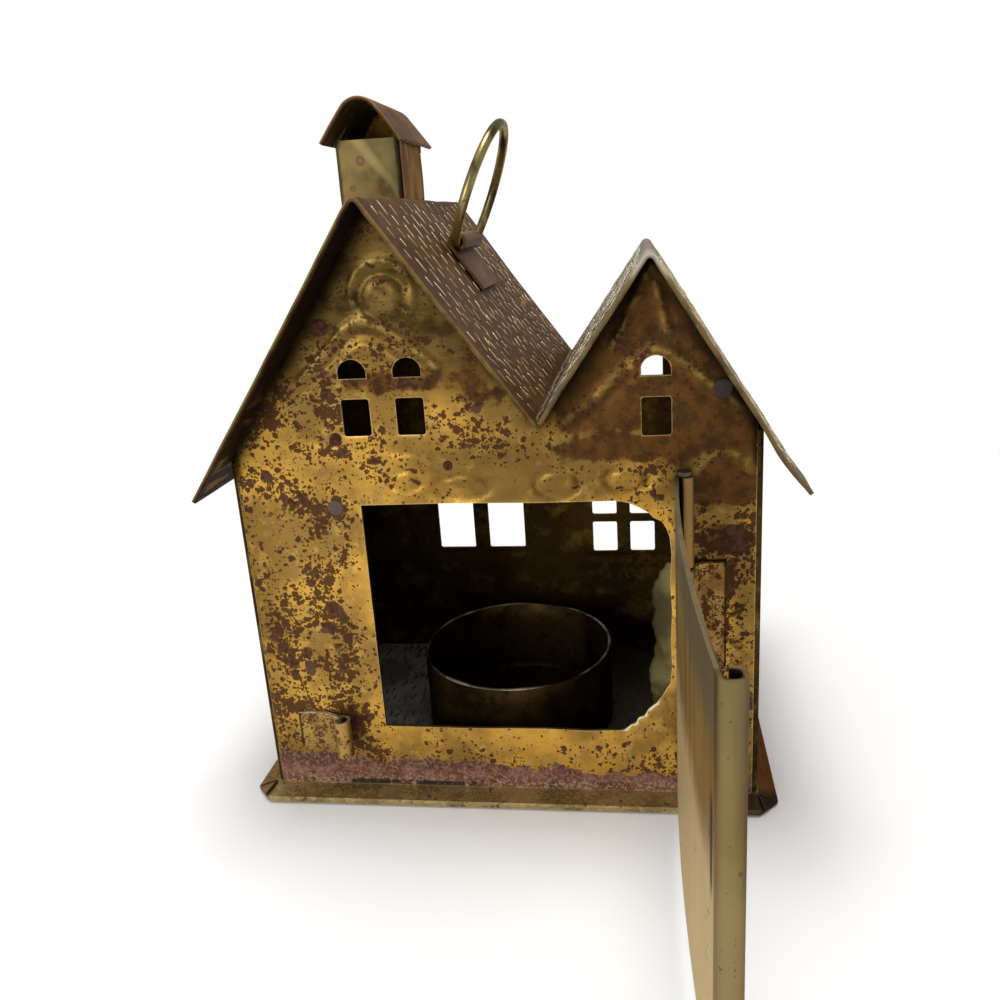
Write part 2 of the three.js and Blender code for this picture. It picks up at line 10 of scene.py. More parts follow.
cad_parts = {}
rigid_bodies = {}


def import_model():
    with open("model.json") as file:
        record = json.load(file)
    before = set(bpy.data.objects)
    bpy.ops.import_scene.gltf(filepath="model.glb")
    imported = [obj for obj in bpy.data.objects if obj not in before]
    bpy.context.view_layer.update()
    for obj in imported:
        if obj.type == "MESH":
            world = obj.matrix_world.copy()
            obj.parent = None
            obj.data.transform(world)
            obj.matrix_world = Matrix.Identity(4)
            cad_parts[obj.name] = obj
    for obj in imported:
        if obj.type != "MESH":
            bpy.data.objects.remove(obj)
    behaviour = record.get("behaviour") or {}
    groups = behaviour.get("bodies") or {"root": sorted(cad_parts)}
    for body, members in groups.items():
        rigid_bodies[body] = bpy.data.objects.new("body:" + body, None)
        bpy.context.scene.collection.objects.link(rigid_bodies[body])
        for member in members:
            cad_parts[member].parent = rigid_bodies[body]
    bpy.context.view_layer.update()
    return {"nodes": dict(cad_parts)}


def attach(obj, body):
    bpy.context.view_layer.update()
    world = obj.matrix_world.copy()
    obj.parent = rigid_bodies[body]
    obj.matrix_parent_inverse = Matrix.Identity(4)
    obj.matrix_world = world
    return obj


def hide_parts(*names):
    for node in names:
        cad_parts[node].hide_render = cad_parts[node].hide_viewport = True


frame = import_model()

MM = 0.001
NODES = frame["nodes"]

# Sheet, walls and base
WALL_SHEET = 0.7
ROOF_SHEET = 0.8
FRONT_Y = -32
BACK_Y = 32
HALF_WIDTH = 50
SIDE_INNER = 50.5
SIDE_OUTER = 51.2
TOP = 1.6
TAB_END = 45.5

# Roof line seen from the front: left eave, main ridge, valley, small ridge, right eave
LEFT_EAVE = (-55.7, 68.5)
MAIN_RIDGE = (-18.2, 122.9)
VALLEY = (10.7, 81.8)
SMALL_RIDGE = (31.2, 111.3)
RIGHT_EAVE = (58.2, 68)
RIDGE_RADIUS = 1.5
ROOF_FRONT = -39.5
ROOF_BACK = 47
ROOF_SEAT = 0.85

# Windows: centre x, sill z
PANE = (5.4, 7.1)
ARCH_HEIGHT = 3.6
ARCH_RISE = 11
GABLE_PANES = ((-24.2, 78.6), (-13.7, 78.6), (31.9, 77.4))
BACK_PANE_DROP = 2
TALL_PANE = (9.7, 14.7)
TALL_PANES = ((-21.4, 31), (-7.7, 31))
CROSS_PANE = (6.4, 8.4)
CROSS_PANES = ((18.8, 29.6), (28.7, 29.6), (18.8, 40.1), (28.7, 40.1))

# Cup, chimney and ring
CUP_CENTRE = (-0.8, -3.5)
CUP_RADIUS = 21.8
CUP_FLOOR = 2.2
CUP_RIM = 20.8
STACK_X = (-33.6, -19.6)
STACK_Y = (0, 19)
STACK_TOP = 134.2
CAP_EDGE = 135.86
CAP_SLOPE = math.radians(53)
CAP_HALF_SPAN = 8.7
CAP_CROWN = 4.5
CAP_Y = (-4, 23)
RING_FOOT = (-8.3, 6.5, 112.646)
RING_LEAN = math.radians(22)
RING_RADIUS = 15.4
RING_FOOT_HALF = 11.9
RING_CORNER = 2.5
WIRE_RADIUS = 1


# Numbers on the sheet


def smooth(value, low, high):
    """0 below low, 1 above high, and smooth between them."""
    share = np.clip((value - low) / (high - low), 0, 1)
    return share * share * (3 - 2 * share)


def fade(value, low, high):
    """1 below low, 0 above high, and smooth between them."""
    return 1 - smooth(value, low, high)


def distance(u, v, line):
    """Shortest way from each point to a line of straight steps."""
    best = np.full(u.shape, 1e9)
    for (u0, v0), (u1, v1) in zip(line, line[1:]):
        du, dv = u1 - u0, v1 - v0
        share = np.clip(((u - u0) * du + (v - v0) * dv) / (du * du + dv * dv), 0, 1)
        best = np.minimum(best, np.hypot(u - u0 - share * du, v - v0 - share * dv))
    return best


def rib(u, v, line, width):
    """1 along a line, falling off softly within its width."""
    return np.exp(-(distance(u, v, line) / width) ** 2)


def ribs(u, v, *lines):
    """The sum of several ribs, each given as its height, line and width."""
    return sum(height * rib(u, v, line, width) for height, line, width in lines)


def fade_out(gap, reach):
    """1 where a gap is 0, falling evenly to 0 at its reach."""
    return np.clip(1 - gap / reach, 0, 1)


def patch(u, v, centre, reach):
    """1 at the centre of an oval, falling off softly within its reach."""
    return np.exp(-((u - centre[0]) / reach[0]) ** 2 - ((v - centre[1]) / reach[1]) ** 2)


def patches(u, v, *ovals):
    """The sum of several patches, each given as its strength, centre and reach."""
    return sum(strength * patch(u, v, centre, reach) for strength, centre, reach in ovals)


def shares(**marks):
    """The marks of a sheet by name, each kept between 0 and 1."""
    return {label: np.clip(numbers, 0, 1) for label, numbers in marks.items()}


def ring_line(centre, radius, start, sweep, steps=24):
    """An arc as a line of straight steps, its start and sweep in degrees."""
    angles = [math.radians(start + sweep * k / steps) for k in range(steps + 1)]
    return [(centre[0] + radius * math.cos(a), centre[1] + radius * math.sin(a)) for a in angles]


def ripple(u, v, size, seed):
    """Smooth unevenness between about -1 and 1, with dents about one size across."""
    dice = random.Random(seed)
    total = 0
    for _ in range(7):
        angle = dice.uniform(0, math.tau)
        turn = math.tau / size * dice.uniform(0.4, 1.1)
        phase = dice.uniform(0, math.tau)
        total = total + np.sin((u * math.cos(angle) + v * math.sin(angle)) * turn + phase)
    return total / 4


def inside(u, v, loop):
    """Which points lie inside a closed loop."""
    hit = np.zeros(u.shape, bool)
    for (u0, v0), (u1, v1) in zip(loop, loop[1:] + loop[:1]):
        if v0 == v1:
            continue
        crosses = (v0 > v) != (v1 > v)
        hit ^= crosses & (u < (u1 - u0) * (v - v0) / (v1 - v0) + u0)
    return hit


def on_sheet(u, v, loops):
    """Which points lie inside the outline, the first loop, and outside its holes."""
    kept = inside(u, v, loops[0])
    for loop in loops[1:]:
        kept &= ~inside(u, v, loop)
    return kept


# Lines


def direction(start, end):
    """The direction from one point to another, with length 1."""
    return (Vector(end) - Vector(start)).normalized()


def bent_line(points, radius, steps=8):
    """The points with every inner corner rounded to one radius."""
    line = [points[0]]
    for before, here, after in zip(points, points[1:], points[2:]):
        here = Vector(here)
        back = (Vector(before) - here).normalized()
        ahead = (Vector(after) - here).normalized()
        half = back.angle(ahead) / 2
        centre = here + (back + ahead).normalized() * (radius / math.sin(half))
        spoke = here + back * (radius / math.tan(half)) - centre
        cross = ahead.x * back.y - ahead.y * back.x
        sweep = math.copysign(math.pi - 2 * half, cross)
        for k in range(steps + 1):
            angle = sweep * k / steps
            line.append((
                centre.x + spoke.x * math.cos(angle) - spoke.y * math.sin(angle),
                centre.y + spoke.x * math.sin(angle) + spoke.y * math.cos(angle),
            ))
    line.append(points[-1])
    return line


def arc(centre, radius, start, sweep, steps):
    """An arc without its first point, to go on from a line that ends there."""
    return ring_line(centre, radius, start, sweep, steps)[1:]


def divided(line, step):
    """The same line with no straight step longer than one step."""
    points = [line[0]]
    for start, end in zip(line, line[1:]):
        count = max(1, math.ceil(math.dist(start, end) / step))
        for k in range(1, count + 1):
            share = k / count
            points.append(tuple(a + (b - a) * share for a, b in zip(start, end)))
    return points


def side_directions(line):
    """The direction to the left of a line at each of its points, longer at its corners."""
    steps = [direction(a, b) for a, b in zip(line, line[1:])]
    result = []
    for k in range(len(line)):
        before = steps[max(k - 1, 0)]
        after = steps[min(k, len(steps) - 1)]
        left = Vector((-before.y - after.y, before.x + after.x)).normalized()
        result.append(left / max(left.dot(Vector((-before.y, before.x))), 0.3))
    return result


def offset_line(line, distance_left):
    """The line moved to its left, or to its right where the distance is below 0."""
    return [
        (x + side.x * distance_left, y + side.y * distance_left)
        for (x, y), side in zip(line, side_directions(line))
    ]


def run_along(line, point):
    """The way along a line to its place nearest a point."""
    best, run, result = 1e9, 0, 0
    for start, end in zip(line, line[1:]):
        a, b = Vector(start), Vector(end)
        share = min(max((Vector(point) - a).dot(b - a) / (b - a).length_squared, 0), 1)
        gap = (a + (b - a) * share - Vector(point)).length
        if gap < best:
            best, result = gap, run + (b - a).length * share
        run += (b - a).length
    return result


def moved_line(line, drop, mirror=1):
    """The line lowered, and with mirror -1 also turned over from left to right."""
    return [(mirror * x, z - drop) for x, z in line]


def level_line(centre, half, z):
    """A level line, half a width to each side of its centre."""
    return [(centre - half, z), (centre + half, z)]


def height_on(line, x):
    """The height of a line that runs from left to right, above one x."""
    for (x0, y0), (x1, y1) in zip(line, line[1:]):
        if x0 <= x <= x1 and x1 > x0:
            return y0 + (y1 - y0) * (x - x0) / (x1 - x0)
    return line[-1][1]


# Meshes


def turn_outwards(mesh):
    """Makes the faces of closed bodies look outwards."""
    shape = bmesh.new()
    shape.from_mesh(mesh)
    bmesh.ops.recalc_face_normals(shape, faces=shape.faces)
    shape.to_mesh(mesh)
    shape.free()


def shade_bends(mesh, angle):
    """Shades a mesh smooth, except at bends sharper than the angle in degrees."""
    mesh.shade_smooth()
    mesh.set_sharp_from_angle(angle=math.radians(angle))


def add_values(mesh, label, numbers, domain="POINT"):
    """Numbers that a finish reads by their label, one for each point or face."""
    layer = mesh.attributes.new(label, "FLOAT", domain)
    layer.data.foreach_set("value", np.asarray(numbers, np.float32))


def mesh_points(mesh):
    """The points of a mesh, in millimetres."""
    co = np.empty(len(mesh.vertices) * 3)
    mesh.vertices.foreach_get("co", co)
    return co.reshape(-1, 3) / MM


def finished_mesh(name, verts, faces, angle, values=None):
    """A mesh from millimetre points, smooth except at bends sharper than the angle."""
    mesh = bpy.data.meshes.new(name)
    mesh.from_pydata([tuple(c * MM for c in vert) for vert in verts], [], faces)
    for label, numbers in (values or {}).items():
        add_values(mesh, label, numbers)
    turn_outwards(mesh)
    shade_bends(mesh, angle)
    return mesh


def add_piece(name, mesh, material, body, slot, replaces=()):
    """Adds a piece that rides on a body, and may be seen instead of some frame nodes."""
    piece = bpy.data.objects.new(name, mesh)
    bpy.context.scene.collection.objects.link(piece)
    mesh.materials.clear()
    mesh.materials.append(material)
    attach(piece, body)
    for node in replaces:
        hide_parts(node)


def rounded_copy(node):
    """A merged copy of a frame node whose rolls and bends are shaded smooth."""
    mesh = NODES[node].data.copy()
    shape = bmesh.new()
    shape.from_mesh(mesh)
    bmesh.ops.remove_doubles(shape, verts=shape.verts, dist=1e-7)
    shape.to_mesh(mesh)
    shape.free()
    if "custom_normal" in mesh.attributes:
        mesh.attributes.remove(mesh.attributes["custom_normal"])
    shade_bends(mesh, 35)
    return mesh


def mark_hollow(mesh, centre, reach):
    """Marks what lies within reach of an upright axis, the inside of a rolled edge, for painted shade."""
    x, y, _ = mesh_points(mesh).T
    add_values(mesh, "hollow", np.hypot(x - centre[0], y - centre[1]) < reach)


def mark_outside(mesh, way):
    """Marks the faces that look in one direction, as the weathered side of a sheet."""
    looks = [face.normal.dot(Vector(way)) > 0.5 for face in mesh.polygons]
    add_values(mesh, "outside", looks, "FACE")


def band(first, second, count):
    """Faces between two closed rings of points, each given by its first point's number."""
    steps = [(k, (k + 1) % count) for k in range(count)]
    return [(first + k, first + ahead, second + ahead, second + k) for k, ahead in steps]


def bands(rings, count, start=0):
    """Faces between rings of points that follow one another."""
    firsts = [start + ring * count for ring in range(rings - 1)]
    return [face for first in firsts for face in band(first, first + count, count)]


def fan(first, count, tip):
    """Faces between a closed ring and one point."""
    return [(first + k, first + (k + 1) % count, tip) for k in range(count)]


def bar_faces(rings, count, start=0):
    """Faces of a closed bar, made of rings of points, with its two ends."""
    last = start + (rings - 1) * count
    ends = [tuple(range(start, start + count)), tuple(range(last, last + count))]
    return bands(rings, count, start) + ends


def sheet_faces(rings, count):
    """Faces of a closed sheet whose rings run along one side and back along the other."""
    around = 2 * count
    faces = bands(rings, around)
    for base in (0, (rings - 1) * around):
        for k in range(count - 1):
            faces.append((base + k, base + k + 1, base + around - 2 - k, base + around - 1 - k))
    return faces


def scattered_points(outline, pitch, seed):
    """Points about one pitch apart, in staggered and slightly uneven rows."""
    dice = np.random.default_rng(seed)
    us, vs = zip(*outline)
    # Rows this close make a net of triangles with equal sides
    row_pitch = 0.87 * pitch
    grid_u, grid_v = np.meshgrid(
        np.arange(min(us), max(us), pitch), np.arange(min(vs), max(vs), row_pitch),
    )
    grid_u = grid_u + (np.arange(len(grid_u)) % 2)[:, None] * pitch / 2
    u = grid_u + dice.uniform(-0.08, 0.08, grid_u.shape) * pitch
    v = grid_v + dice.uniform(-0.08, 0.08, grid_v.shape) * pitch
    return u.ravel(), v.ravel()


def sheet_triangles(loops, u, v):
    """The flat points and triangles between an outline and its holes, all turned one way."""
    points = [Vector(p) for loop in loops for p in loop]
    points += [Vector(p) for p in zip(u, v)]
    edges = []
    for loop in loops:
        start, count = len(edges), len(loop)
        edges += [(start + k, start + (k + 1) % count) for k in range(count)]
    found, _, triangles, *_ = geometry.delaunay_2d_cdt(points, edges, [], 0, 1e-6)
    flat = np.array([(p.x, p.y) for p in found])
    triangles = np.array([t for t in triangles if len(t) == 3])
    middle = flat[triangles].mean(axis=1)
    triangles = triangles[on_sheet(middle[:, 0], middle[:, 1], loops)]
    a, b, c = (flat[triangles[:, k]] for k in range(3))
    turned = (b - a)[:, 0] * (c - a)[:, 1] - (b - a)[:, 1] * (c - a)[:, 0] < 0
    triangles[turned] = triangles[turned][:, ::-1]
    used, renumbered = np.unique(triangles, return_inverse=True)
    return flat[used], renumbered.reshape(-1, 3).tolist()


def plate_mesh(name, outline, holes, pitch, place, relief, marks, seed=1):
    """An embossed wall sheet with holes: place(u, v, out) puts its points in the house."""
    loops = [divided(loop + loop[:1], pitch)[:-1] for loop in [outline, *holes]]
    u, v = scattered_points(outline, pitch, seed)
    keep = on_sheet(u, v, loops)
    for loop in loops:
        keep &= distance(u, v, loop + loop[:1]) > 0.5 * pitch
    flat, triangles = sheet_triangles(loops, u[keep], v[keep])
    u, v = flat.T
    out = relief(u, v)
    verts = [place(*p) for p in zip(u, v, out)]
    verts += [place(*p) for p in zip(u, v, out - WALL_SHEET)]
    count = len(flat)
    directed = {(t[k], t[(k + 1) % 3]) for t in triangles for k in range(3)}
    rim = [(i, j) for i, j in directed if (j, i) not in directed]
    faces = [tuple(t) for t in triangles]
    faces += [(c + count, b + count, a + count) for a, b, c in triangles]
    faces += [(i, i + count, j + count, j) for i, j in rim]
    edge = np.zeros(count)
    edge[[i for i, _ in rim]] = 1
    values = {label: np.tile(numbers, 2) for label, numbers in marks(u, v).items()}
    values["edge"] = np.tile(edge, 2)
    # The inner face gets painted shade
    values["soot"] = np.repeat([0, 1], count)
    return finished_mesh(name, verts, faces, 50, values)


def swept_mesh(name, line, left, right, low, high, step, place, wave, marks):
    """A bent sheet: a line with two offsets, swept from low to high.

    place(p, q, a) turns a point of the section and its place along the sweep into x, y, z.
    wave(s, a) moves the sheet to its left, s being the way along the line.
    marks(s, a, under) gives the values for the finish, under being 1 on the right-hand side.
    """
    sides = side_directions(line)
    run = np.cumsum([0] + [math.dist(a, b) for a, b in zip(line, line[1:])])
    levels = np.linspace(low, high, max(2, round((high - low) / step) + 1))
    count = len(line)
    verts = []
    for a in levels:
        bend = list(zip(line, sides, wave(run, np.full(count, a))))
        for points, offset in ((bend, left), (reversed(bend), right)):
            for (x, y), side, w in points:
                verts.append(place(x + side.x * (offset + w), y + side.y * (offset + w), a))
    s = np.tile(np.concatenate([run, run[::-1]]), len(levels))
    under = np.tile(np.repeat([0, 1], count), len(levels))
    values = marks(s, np.repeat(levels, 2 * count), under)
    return finished_mesh(name, verts, sheet_faces(len(levels), count), 50, values)


def tube_mesh(name, path, radii, sides):
    """A round bar along a path of points, with its own radius at each."""
    path = [Vector(p) for p in path]
    verts = []
    across = None
    for k, here in enumerate(path):
        ahead = (path[min(k + 1, len(path) - 1)] - path[max(k - 1, 0)]).normalized()
        if across is None:
            across = ahead.orthogonal().normalized()
        across = (across - ahead * across.dot(ahead)).normalized()
        other = ahead.cross(across)
        for n in range(sides):
            turn = math.tau * n / sides
            verts.append(here + (across * math.cos(turn) + other * math.sin(turn)) * radii[k])
    return finished_mesh(name, verts, bar_faces(len(path), sides), 60)


def lathe_mesh(name, profile, place, steps, wobble=None):
    """A profile of (radius, height) points turned round; its first and last lie on the axis."""
    verts = [place(0, 0, profile[0][1])]
    for radius, z in profile[1:-1]:
        for k in range(steps):
            turn = math.tau * k / steps
            lift = wobble(turn, z) if wobble else 0
            verts.append(place(radius * math.cos(turn), radius * math.sin(turn), z + lift))
    verts.append(place(0, 0, profile[-1][1]))
    rings = len(profile) - 2
    faces = bands(rings, steps, 1)
    faces += fan(1, steps, 0)
    faces += fan(1 + (rings - 1) * steps, steps, len(verts) - 1)
    return finished_mesh(name, verts, faces, 40)


# Finishes


class Socket:
    """An output of a node that takes part in ordinary arithmetic."""

    def __init__(self, tree, output):
        self.tree = tree
        self.output = output

    def __add__(self, other):
        return self.tree.math("ADD", self, other)

    __radd__ = __add__

    def __sub__(self, other):
        return self.tree.math("SUBTRACT", self, other)

    def __rsub__(self, other):
        return self.tree.math("SUBTRACT", other, self)

    def __mul__(self, other):
        return self.tree.math("MULTIPLY", self, other)

    __rmul__ = __mul__

    def __truediv__(self, other):
        return self.tree.math("DIVIDE", self, other)

    def __or__(self, other):
        return self.tree.math("MAXIMUM", self, other)


class NodeTree:
    """A tree of nodes that is built by expressions."""

    def __init__(self, tree):
        self.nodes = tree.nodes
        self.links = tree.links

    def connect(self, target, value):
        """Links an output to an input, or gives the input a value."""
        if isinstance(value, Socket):
            self.links.new(value.output, target)
        else:
            target.default_value = value

    def node(self, kind, settings=None, inputs=None, output=0):
        """Adds a node and returns one of its outputs."""
        node = self.nodes.new(kind)
        for key, value in (settings or {}).items():
            setattr(node, key, value)
        for key, value in (inputs or {}).items():
            self.connect(node.inputs[key], value)
        return Socket(self, node.outputs[output])

    def math(self, operation, first, second=0.0):
        return self.node("ShaderNodeMath", {"operation": operation}, {0: first, 1: second})


def colour(text):
    """A written colour such as c9a13b as the linear values that shaders use."""
    parts = [int(text[k:k + 2], 16) / 255 for k in (0, 2, 4)]
    return (*[p / 12.92 if p <= 0.04045 else ((p + 0.055) / 1.055) ** 2.4 for p in parts], 1)


WHITE = colour("ffffff")


class Finish(NodeTree):
    """One material, its nodes added by expressions."""

    def __init__(self, name):
        self.material = bpy.data.materials.new(name)
        self.material.use_nodes = True
        super().__init__(self.material.node_tree)
        self.shader = self.nodes["Principled BSDF"]
        self.place = self.node("ShaderNodeTexCoord", output="Object")

    def noise(self, size, detail, roughness=0.55, stretch=None):
        """Cloudy values about 0.5, with features about one size across."""
        where = self.place
        if stretch:
            where = self.node("ShaderNodeMapping", None, {"Vector": where, "Scale": stretch})
        scale = 1 / (size * MM)
        inputs = {"Vector": where, "Scale": scale, "Detail": detail, "Roughness": roughness}
        return self.node("ShaderNodeTexNoise", None, inputs)

    def warped(self, size, reach):
        """The place pushed about by noise, so that shapes laid out on it turn ragged."""
        inputs = {"Vector": self.place, "Scale": 1 / (size * MM), "Detail": 3.0}
        cloud = self.node("ShaderNodeTexNoise", None, inputs, "Color")
        take = {"operation": "SUBTRACT"}
        push = self.node("ShaderNodeVectorMath", take, {0: cloud, 1: (0.5, 0.5, 0.5)})
        push = self.node("ShaderNodeVectorMath", {"operation": "SCALE"}, {0: push, "Scale": reach * MM})
        return self.node("ShaderNodeVectorMath", {"operation": "ADD"}, {0: self.place, 1: push})

    def blots(self, size, share):
        """Roundish spots, at most one in a cell: share 0 leaves none, 1 fills most cells."""
        inputs = {"Vector": self.warped(size * 0.7, size * 1.1), "Scale": 1 / (size * MM)}
        gap = self.node("ShaderNodeTexVoronoi", None, inputs, "Distance")
        tint = Socket(self, gap.output.node.outputs["Color"])
        chance = self.node("ShaderNodeSeparateColor", None, {0: tint})
        return self.fade(gap - (chance + share - 1) * 0.85, -0.04, 0.06)

    def step(self, value, low, high):
        """0 below low, 1 above high, and smooth between them."""
        settings = {"interpolation_type": "SMOOTHSTEP"}
        return self.node("ShaderNodeMapRange", settings, {0: value, 1: low, 2: high, 3: 0.0, 4: 1.0})

    def fade(self, value, low, high):
        """1 below low, 0 above high, and smooth between them."""
        return 1 - self.step(value, low, high)

    def unsigned(self, value):
        """A value without its sign."""
        return value | (0 - value)

    def mix(self, first, second, amount):
        """The first colour, with an amount of the second over it."""
        settings = {"data_type": "RGBA"}
        first = colour(first) if isinstance(first, str) else first
        second = colour(second) if isinstance(second, str) else second
        return self.node("ShaderNodeMix", settings, {0: amount, 6: first, 7: second}, 2)

    def value(self, label):
        """Numbers that were added to the mesh, or 0 where it has none of that label."""
        return self.node("ShaderNodeAttribute", {"attribute_name": label}, None, "Fac")

    def axis(self, name):
        """The place along one axis, in millimetres."""
        return self.node("ShaderNodeSeparateXYZ", None, {0: self.place}, name) * (1 / MM)

    def near(self, centre, reach):
        """The distance from a point on the lantern, 1 at its reach."""
        at = tuple(c * MM for c in centre)
        settings = {"operation": "DISTANCE"}
        gap = self.node("ShaderNodeVectorMath", settings, {0: self.place, 1: at}, "Value")
        return gap * (1 / (reach * MM))

    def bump(self, height, depth, strength):
        inputs = {"Height": height, "Distance": depth * MM, "Strength": strength}
        return self.node("ShaderNodeBump", None, inputs)

    def apply(self, base, roughness, metallic, normal=None, glance=None):
        """Sets the shader; glance is the colour of reflections at a low angle."""
        if glance:
            self.shader.inputs["Specular Tint"].default_value = colour(glance)
        self.connect(self.shader.inputs["Base Color"], base)
        self.connect(self.shader.inputs["Roughness"], roughness)
        self.connect(self.shader.inputs["Metallic"], metallic)
        if normal:
            self.connect(self.shader.inputs["Normal"], normal)
        return self.material


def tarnish_spots(finish, share, scale=1):
    """Crisp dark spots in clusters, small ones and big ones apart."""
    cluster = finish.step(finish.noise(7 * scale, 3), 0.34, 0.64)
    local = (0.5 + 0.7 * cluster) * share
    small = finish.blots(0.5 * scale, local * 0.85) | finish.blots(0.9 * scale, local * 0.92)
    small = small | finish.blots(1.5 * scale, local * 0.76) | finish.blots(2.4 * scale, local * 0.64)
    return small, finish.blots(3.6 * scale, local * 0.66)


def front_brass():
    """The walls: gold brass, olive and brown in the gables, the olive partly painted shade, spotted, plum
    along the foot.
    """
    finish = Finish("spotted_gold_brass")
    cloud = finish.noise(14, 4)
    smear = finish.noise(6, 4, 0.6, stretch=(1, 1, 1.8))
    gold = finish.mix("8f6e36", "c99a43", finish.step(cloud, 0.4, 0.6))
    gold = finish.mix(gold, "94764a", finish.step(smear, 0.52, 0.68) * 0.45)
    # Pale gold flecks: painted highlights
    gold = finish.mix(gold, "d8ae58", finish.step(finish.noise(3, 4), 0.56, 0.7) * 0.4)
    # Olive painted shade, laid by the shade marks; in part it is the gables' olive tarnish
    olive = finish.mix("3a2c15", "584522", finish.step(smear, 0.4, 0.6))
    ground = finish.mix(gold, olive, finish.value("shade"))
    brown_cloud = finish.noise(3.5, 5, 0.65)
    brown = finish.mix("5c3b1c", "3c2716", finish.step(brown_cloud, 0.4, 0.62))
    cover = finish.step(finish.value("brown") + (brown_cloud - 0.5) * 1.1, 0.38, 0.6)
    ground = finish.mix(ground, brown, cover * 0.92)
    # Ridges rubbed bright, and a painted highlight along the lower torn edge
    worn = finish.value("worn") * finish.step(finish.noise(2.2, 4), 0.38, 0.58)
    ground = finish.mix(ground, "a88b4c", worn)
    small, large = tarnish_spots(finish, finish.value("spots"))
    core = finish.mix("3e241a", "583b30", finish.step(finish.noise(1.2, 3), 0.42, 0.58))
    ground = finish.mix(ground, "402318", small * 0.92)
    ground = finish.mix(ground, core, large * 0.94)
    height_over = finish.axis("Z")
    ragged = (finish.noise(3.2, 5, 0.7) - 0.5) * 2.6
    plum = finish.step(finish.value("plum") + ragged, 0.46, 0.56)
    powder = finish.step(finish.noise(0.6, 4, 0.7), 0.46, 0.6)
    powder = powder * (0.35 + 0.65 * finish.fade(height_over, 2.2, 5))
    foot = finish.mix("6a4139", "8a5c52", finish.step(brown_cloud, 0.4, 0.6))
    foot = finish.mix(foot, "522e26", finish.step(height_over + ragged, 4.5, 7.5) * 0.75)
    foot = finish.mix(foot, "8a6c3c", finish.step(finish.noise(1.3, 4), 0.6, 0.66) * 0.7)
    ground = finish.mix(ground, finish.mix(foot, "bba98c", powder * 0.85), plum)
    across = finish.axis("X")
    seam = finish.fade(height_over, 2.6, 3.1) * finish.step(across, -37, -34)
    seam = seam * finish.fade(across, -9, -4) * finish.step(finish.noise(4, 3), 0.36, 0.46)
    ground = finish.mix(ground, "1f2326", seam * 0.85)
    ground = finish.mix(ground, "c8ae72", finish.step(finish.value("edge"), 0.68, 0.92) * 0.45)
    # A near-white painted glint along the lower torn edge
    painted_tear_glint = finish.value("torn") * finish.step(finish.value("edge"), 0.3, 0.8)
    ground = finish.mix(ground, "e6d9b0", painted_tear_glint)
    # Painted shadow of the roofs' overhang: a near-black band under the eaves
    ground = finish.mix(ground, "120b05", finish.value("eaves") * 0.92)
    # Painted shade of the house's inside, lighter higher up, with golden flecks
    soot = finish.value("soot")
    inner = finish.mix("20160c", "382412", finish.step(height_over, 60, 76))
    inner = finish.mix(inner, "6e5828", finish.step(finish.noise(8, 4, 0.6), 0.5, 0.66) * 0.7)
    ground = finish.mix(ground, inner, soot * 0.9)
    patina = small | large | plum
    rough = 0.36 + 0.2 * patina + 0.1 * cover + 0.2 * soot
    metal = 0.9 - 0.45 * patina - 0.15 * cover
    height = patina * 0.6 + finish.noise(1.6, 4) * 0.5 + finish.noise(6, 2)
    return finish.apply(ground, rough, metal, finish.bump(height, 0.12, 0.5), "b09a70")


def aged_brass(
    name, light, dark, spots, rough=0.42, metal=0.85, tint="4c2c1a", borders=(), scale=1, bare_from=None,
):
    """Plain aged sheet: two cloudy tones, some spots, painted shadow lines along edges, a top edge with a
    painted highlight.
    """
    finish = Finish(name)
    cloud = finish.noise(11, 5, 0.6)
    ground = finish.mix(dark, light, finish.step(cloud, 0.36, 0.62))
    stain = finish.noise(3.4, 4, 0.6)
    ground = finish.mix(ground, dark, finish.step(stain, 0.5, 0.66) * 0.7)
    small, large = tarnish_spots(finish, spots, scale)
    marks = small | large
    ground = finish.mix(ground, tint, marks * 0.9)
    # Painted shadow lines along the given edges
    for axis, border in borders:
        gap = finish.axis(axis) - border
        ground = finish.mix(ground, "1e160d", 0.85 - 0.85 * finish.step(finish.unsigned(gap), 0.15, 0.45))
    # A painted highlight along the top edge, broken into glints
    if bare_from:
        bare = finish.step(finish.axis("Z"), bare_from, bare_from + 0.12)
        glint = 0.25 + 0.6 * finish.step(finish.noise(5, 3), 0.44, 0.6)
        ground = finish.mix(ground, "d8ceb0", bare * glint)
    # Painted shade inside rolled edges
    ground = finish.mix(ground, "120c07", finish.value("hollow") * 0.95)
    roughness = rough + 0.16 * marks + 0.12 * (stain - 0.5)
    metal = metal - 0.4 * marks
    height = marks * 0.5 + finish.noise(1.8, 4) * 0.6 + cloud
    return finish.apply(ground, roughness, metal, finish.bump(height, 0.12, 0.45), "8a7654")


def base_brass():
    """Olive brass of the base, its side flanges reddish brown."""
    finish = Finish("olive_base_brass")
    cloud = finish.noise(9, 5, 0.6)
    ground = finish.mix("8a7448", "ae9864", finish.step(cloud, 0.38, 0.6))
    pale = finish.step(finish.noise(0.8, 4, 0.65), 0.5, 0.62)
    ground = finish.mix(ground, "c4b48c", pale * 0.6)
    across = finish.axis("X")
    ground = finish.mix(ground, "663a16", finish.step(across, 51, 51.6) * 0.9)
    corner = finish.step(across, 40, 50) * finish.fade(finish.axis("Y"), -33, -29)
    ground = finish.mix(ground, "24160b", corner * 0.85)
    ground = finish.mix(ground, "8e6638", finish.fade(across, -51.6, -51) * 0.5)
    small, large = tarnish_spots(finish, 0.5)
    ground = finish.mix(ground, "4a3323", (small | large) * 0.7)
    height = cloud + finish.noise(1.8, 4) * 0.6
    return finish.apply(ground, 0.42, 0.75, finish.bump(height, 0.12, 0.5), "a08658")


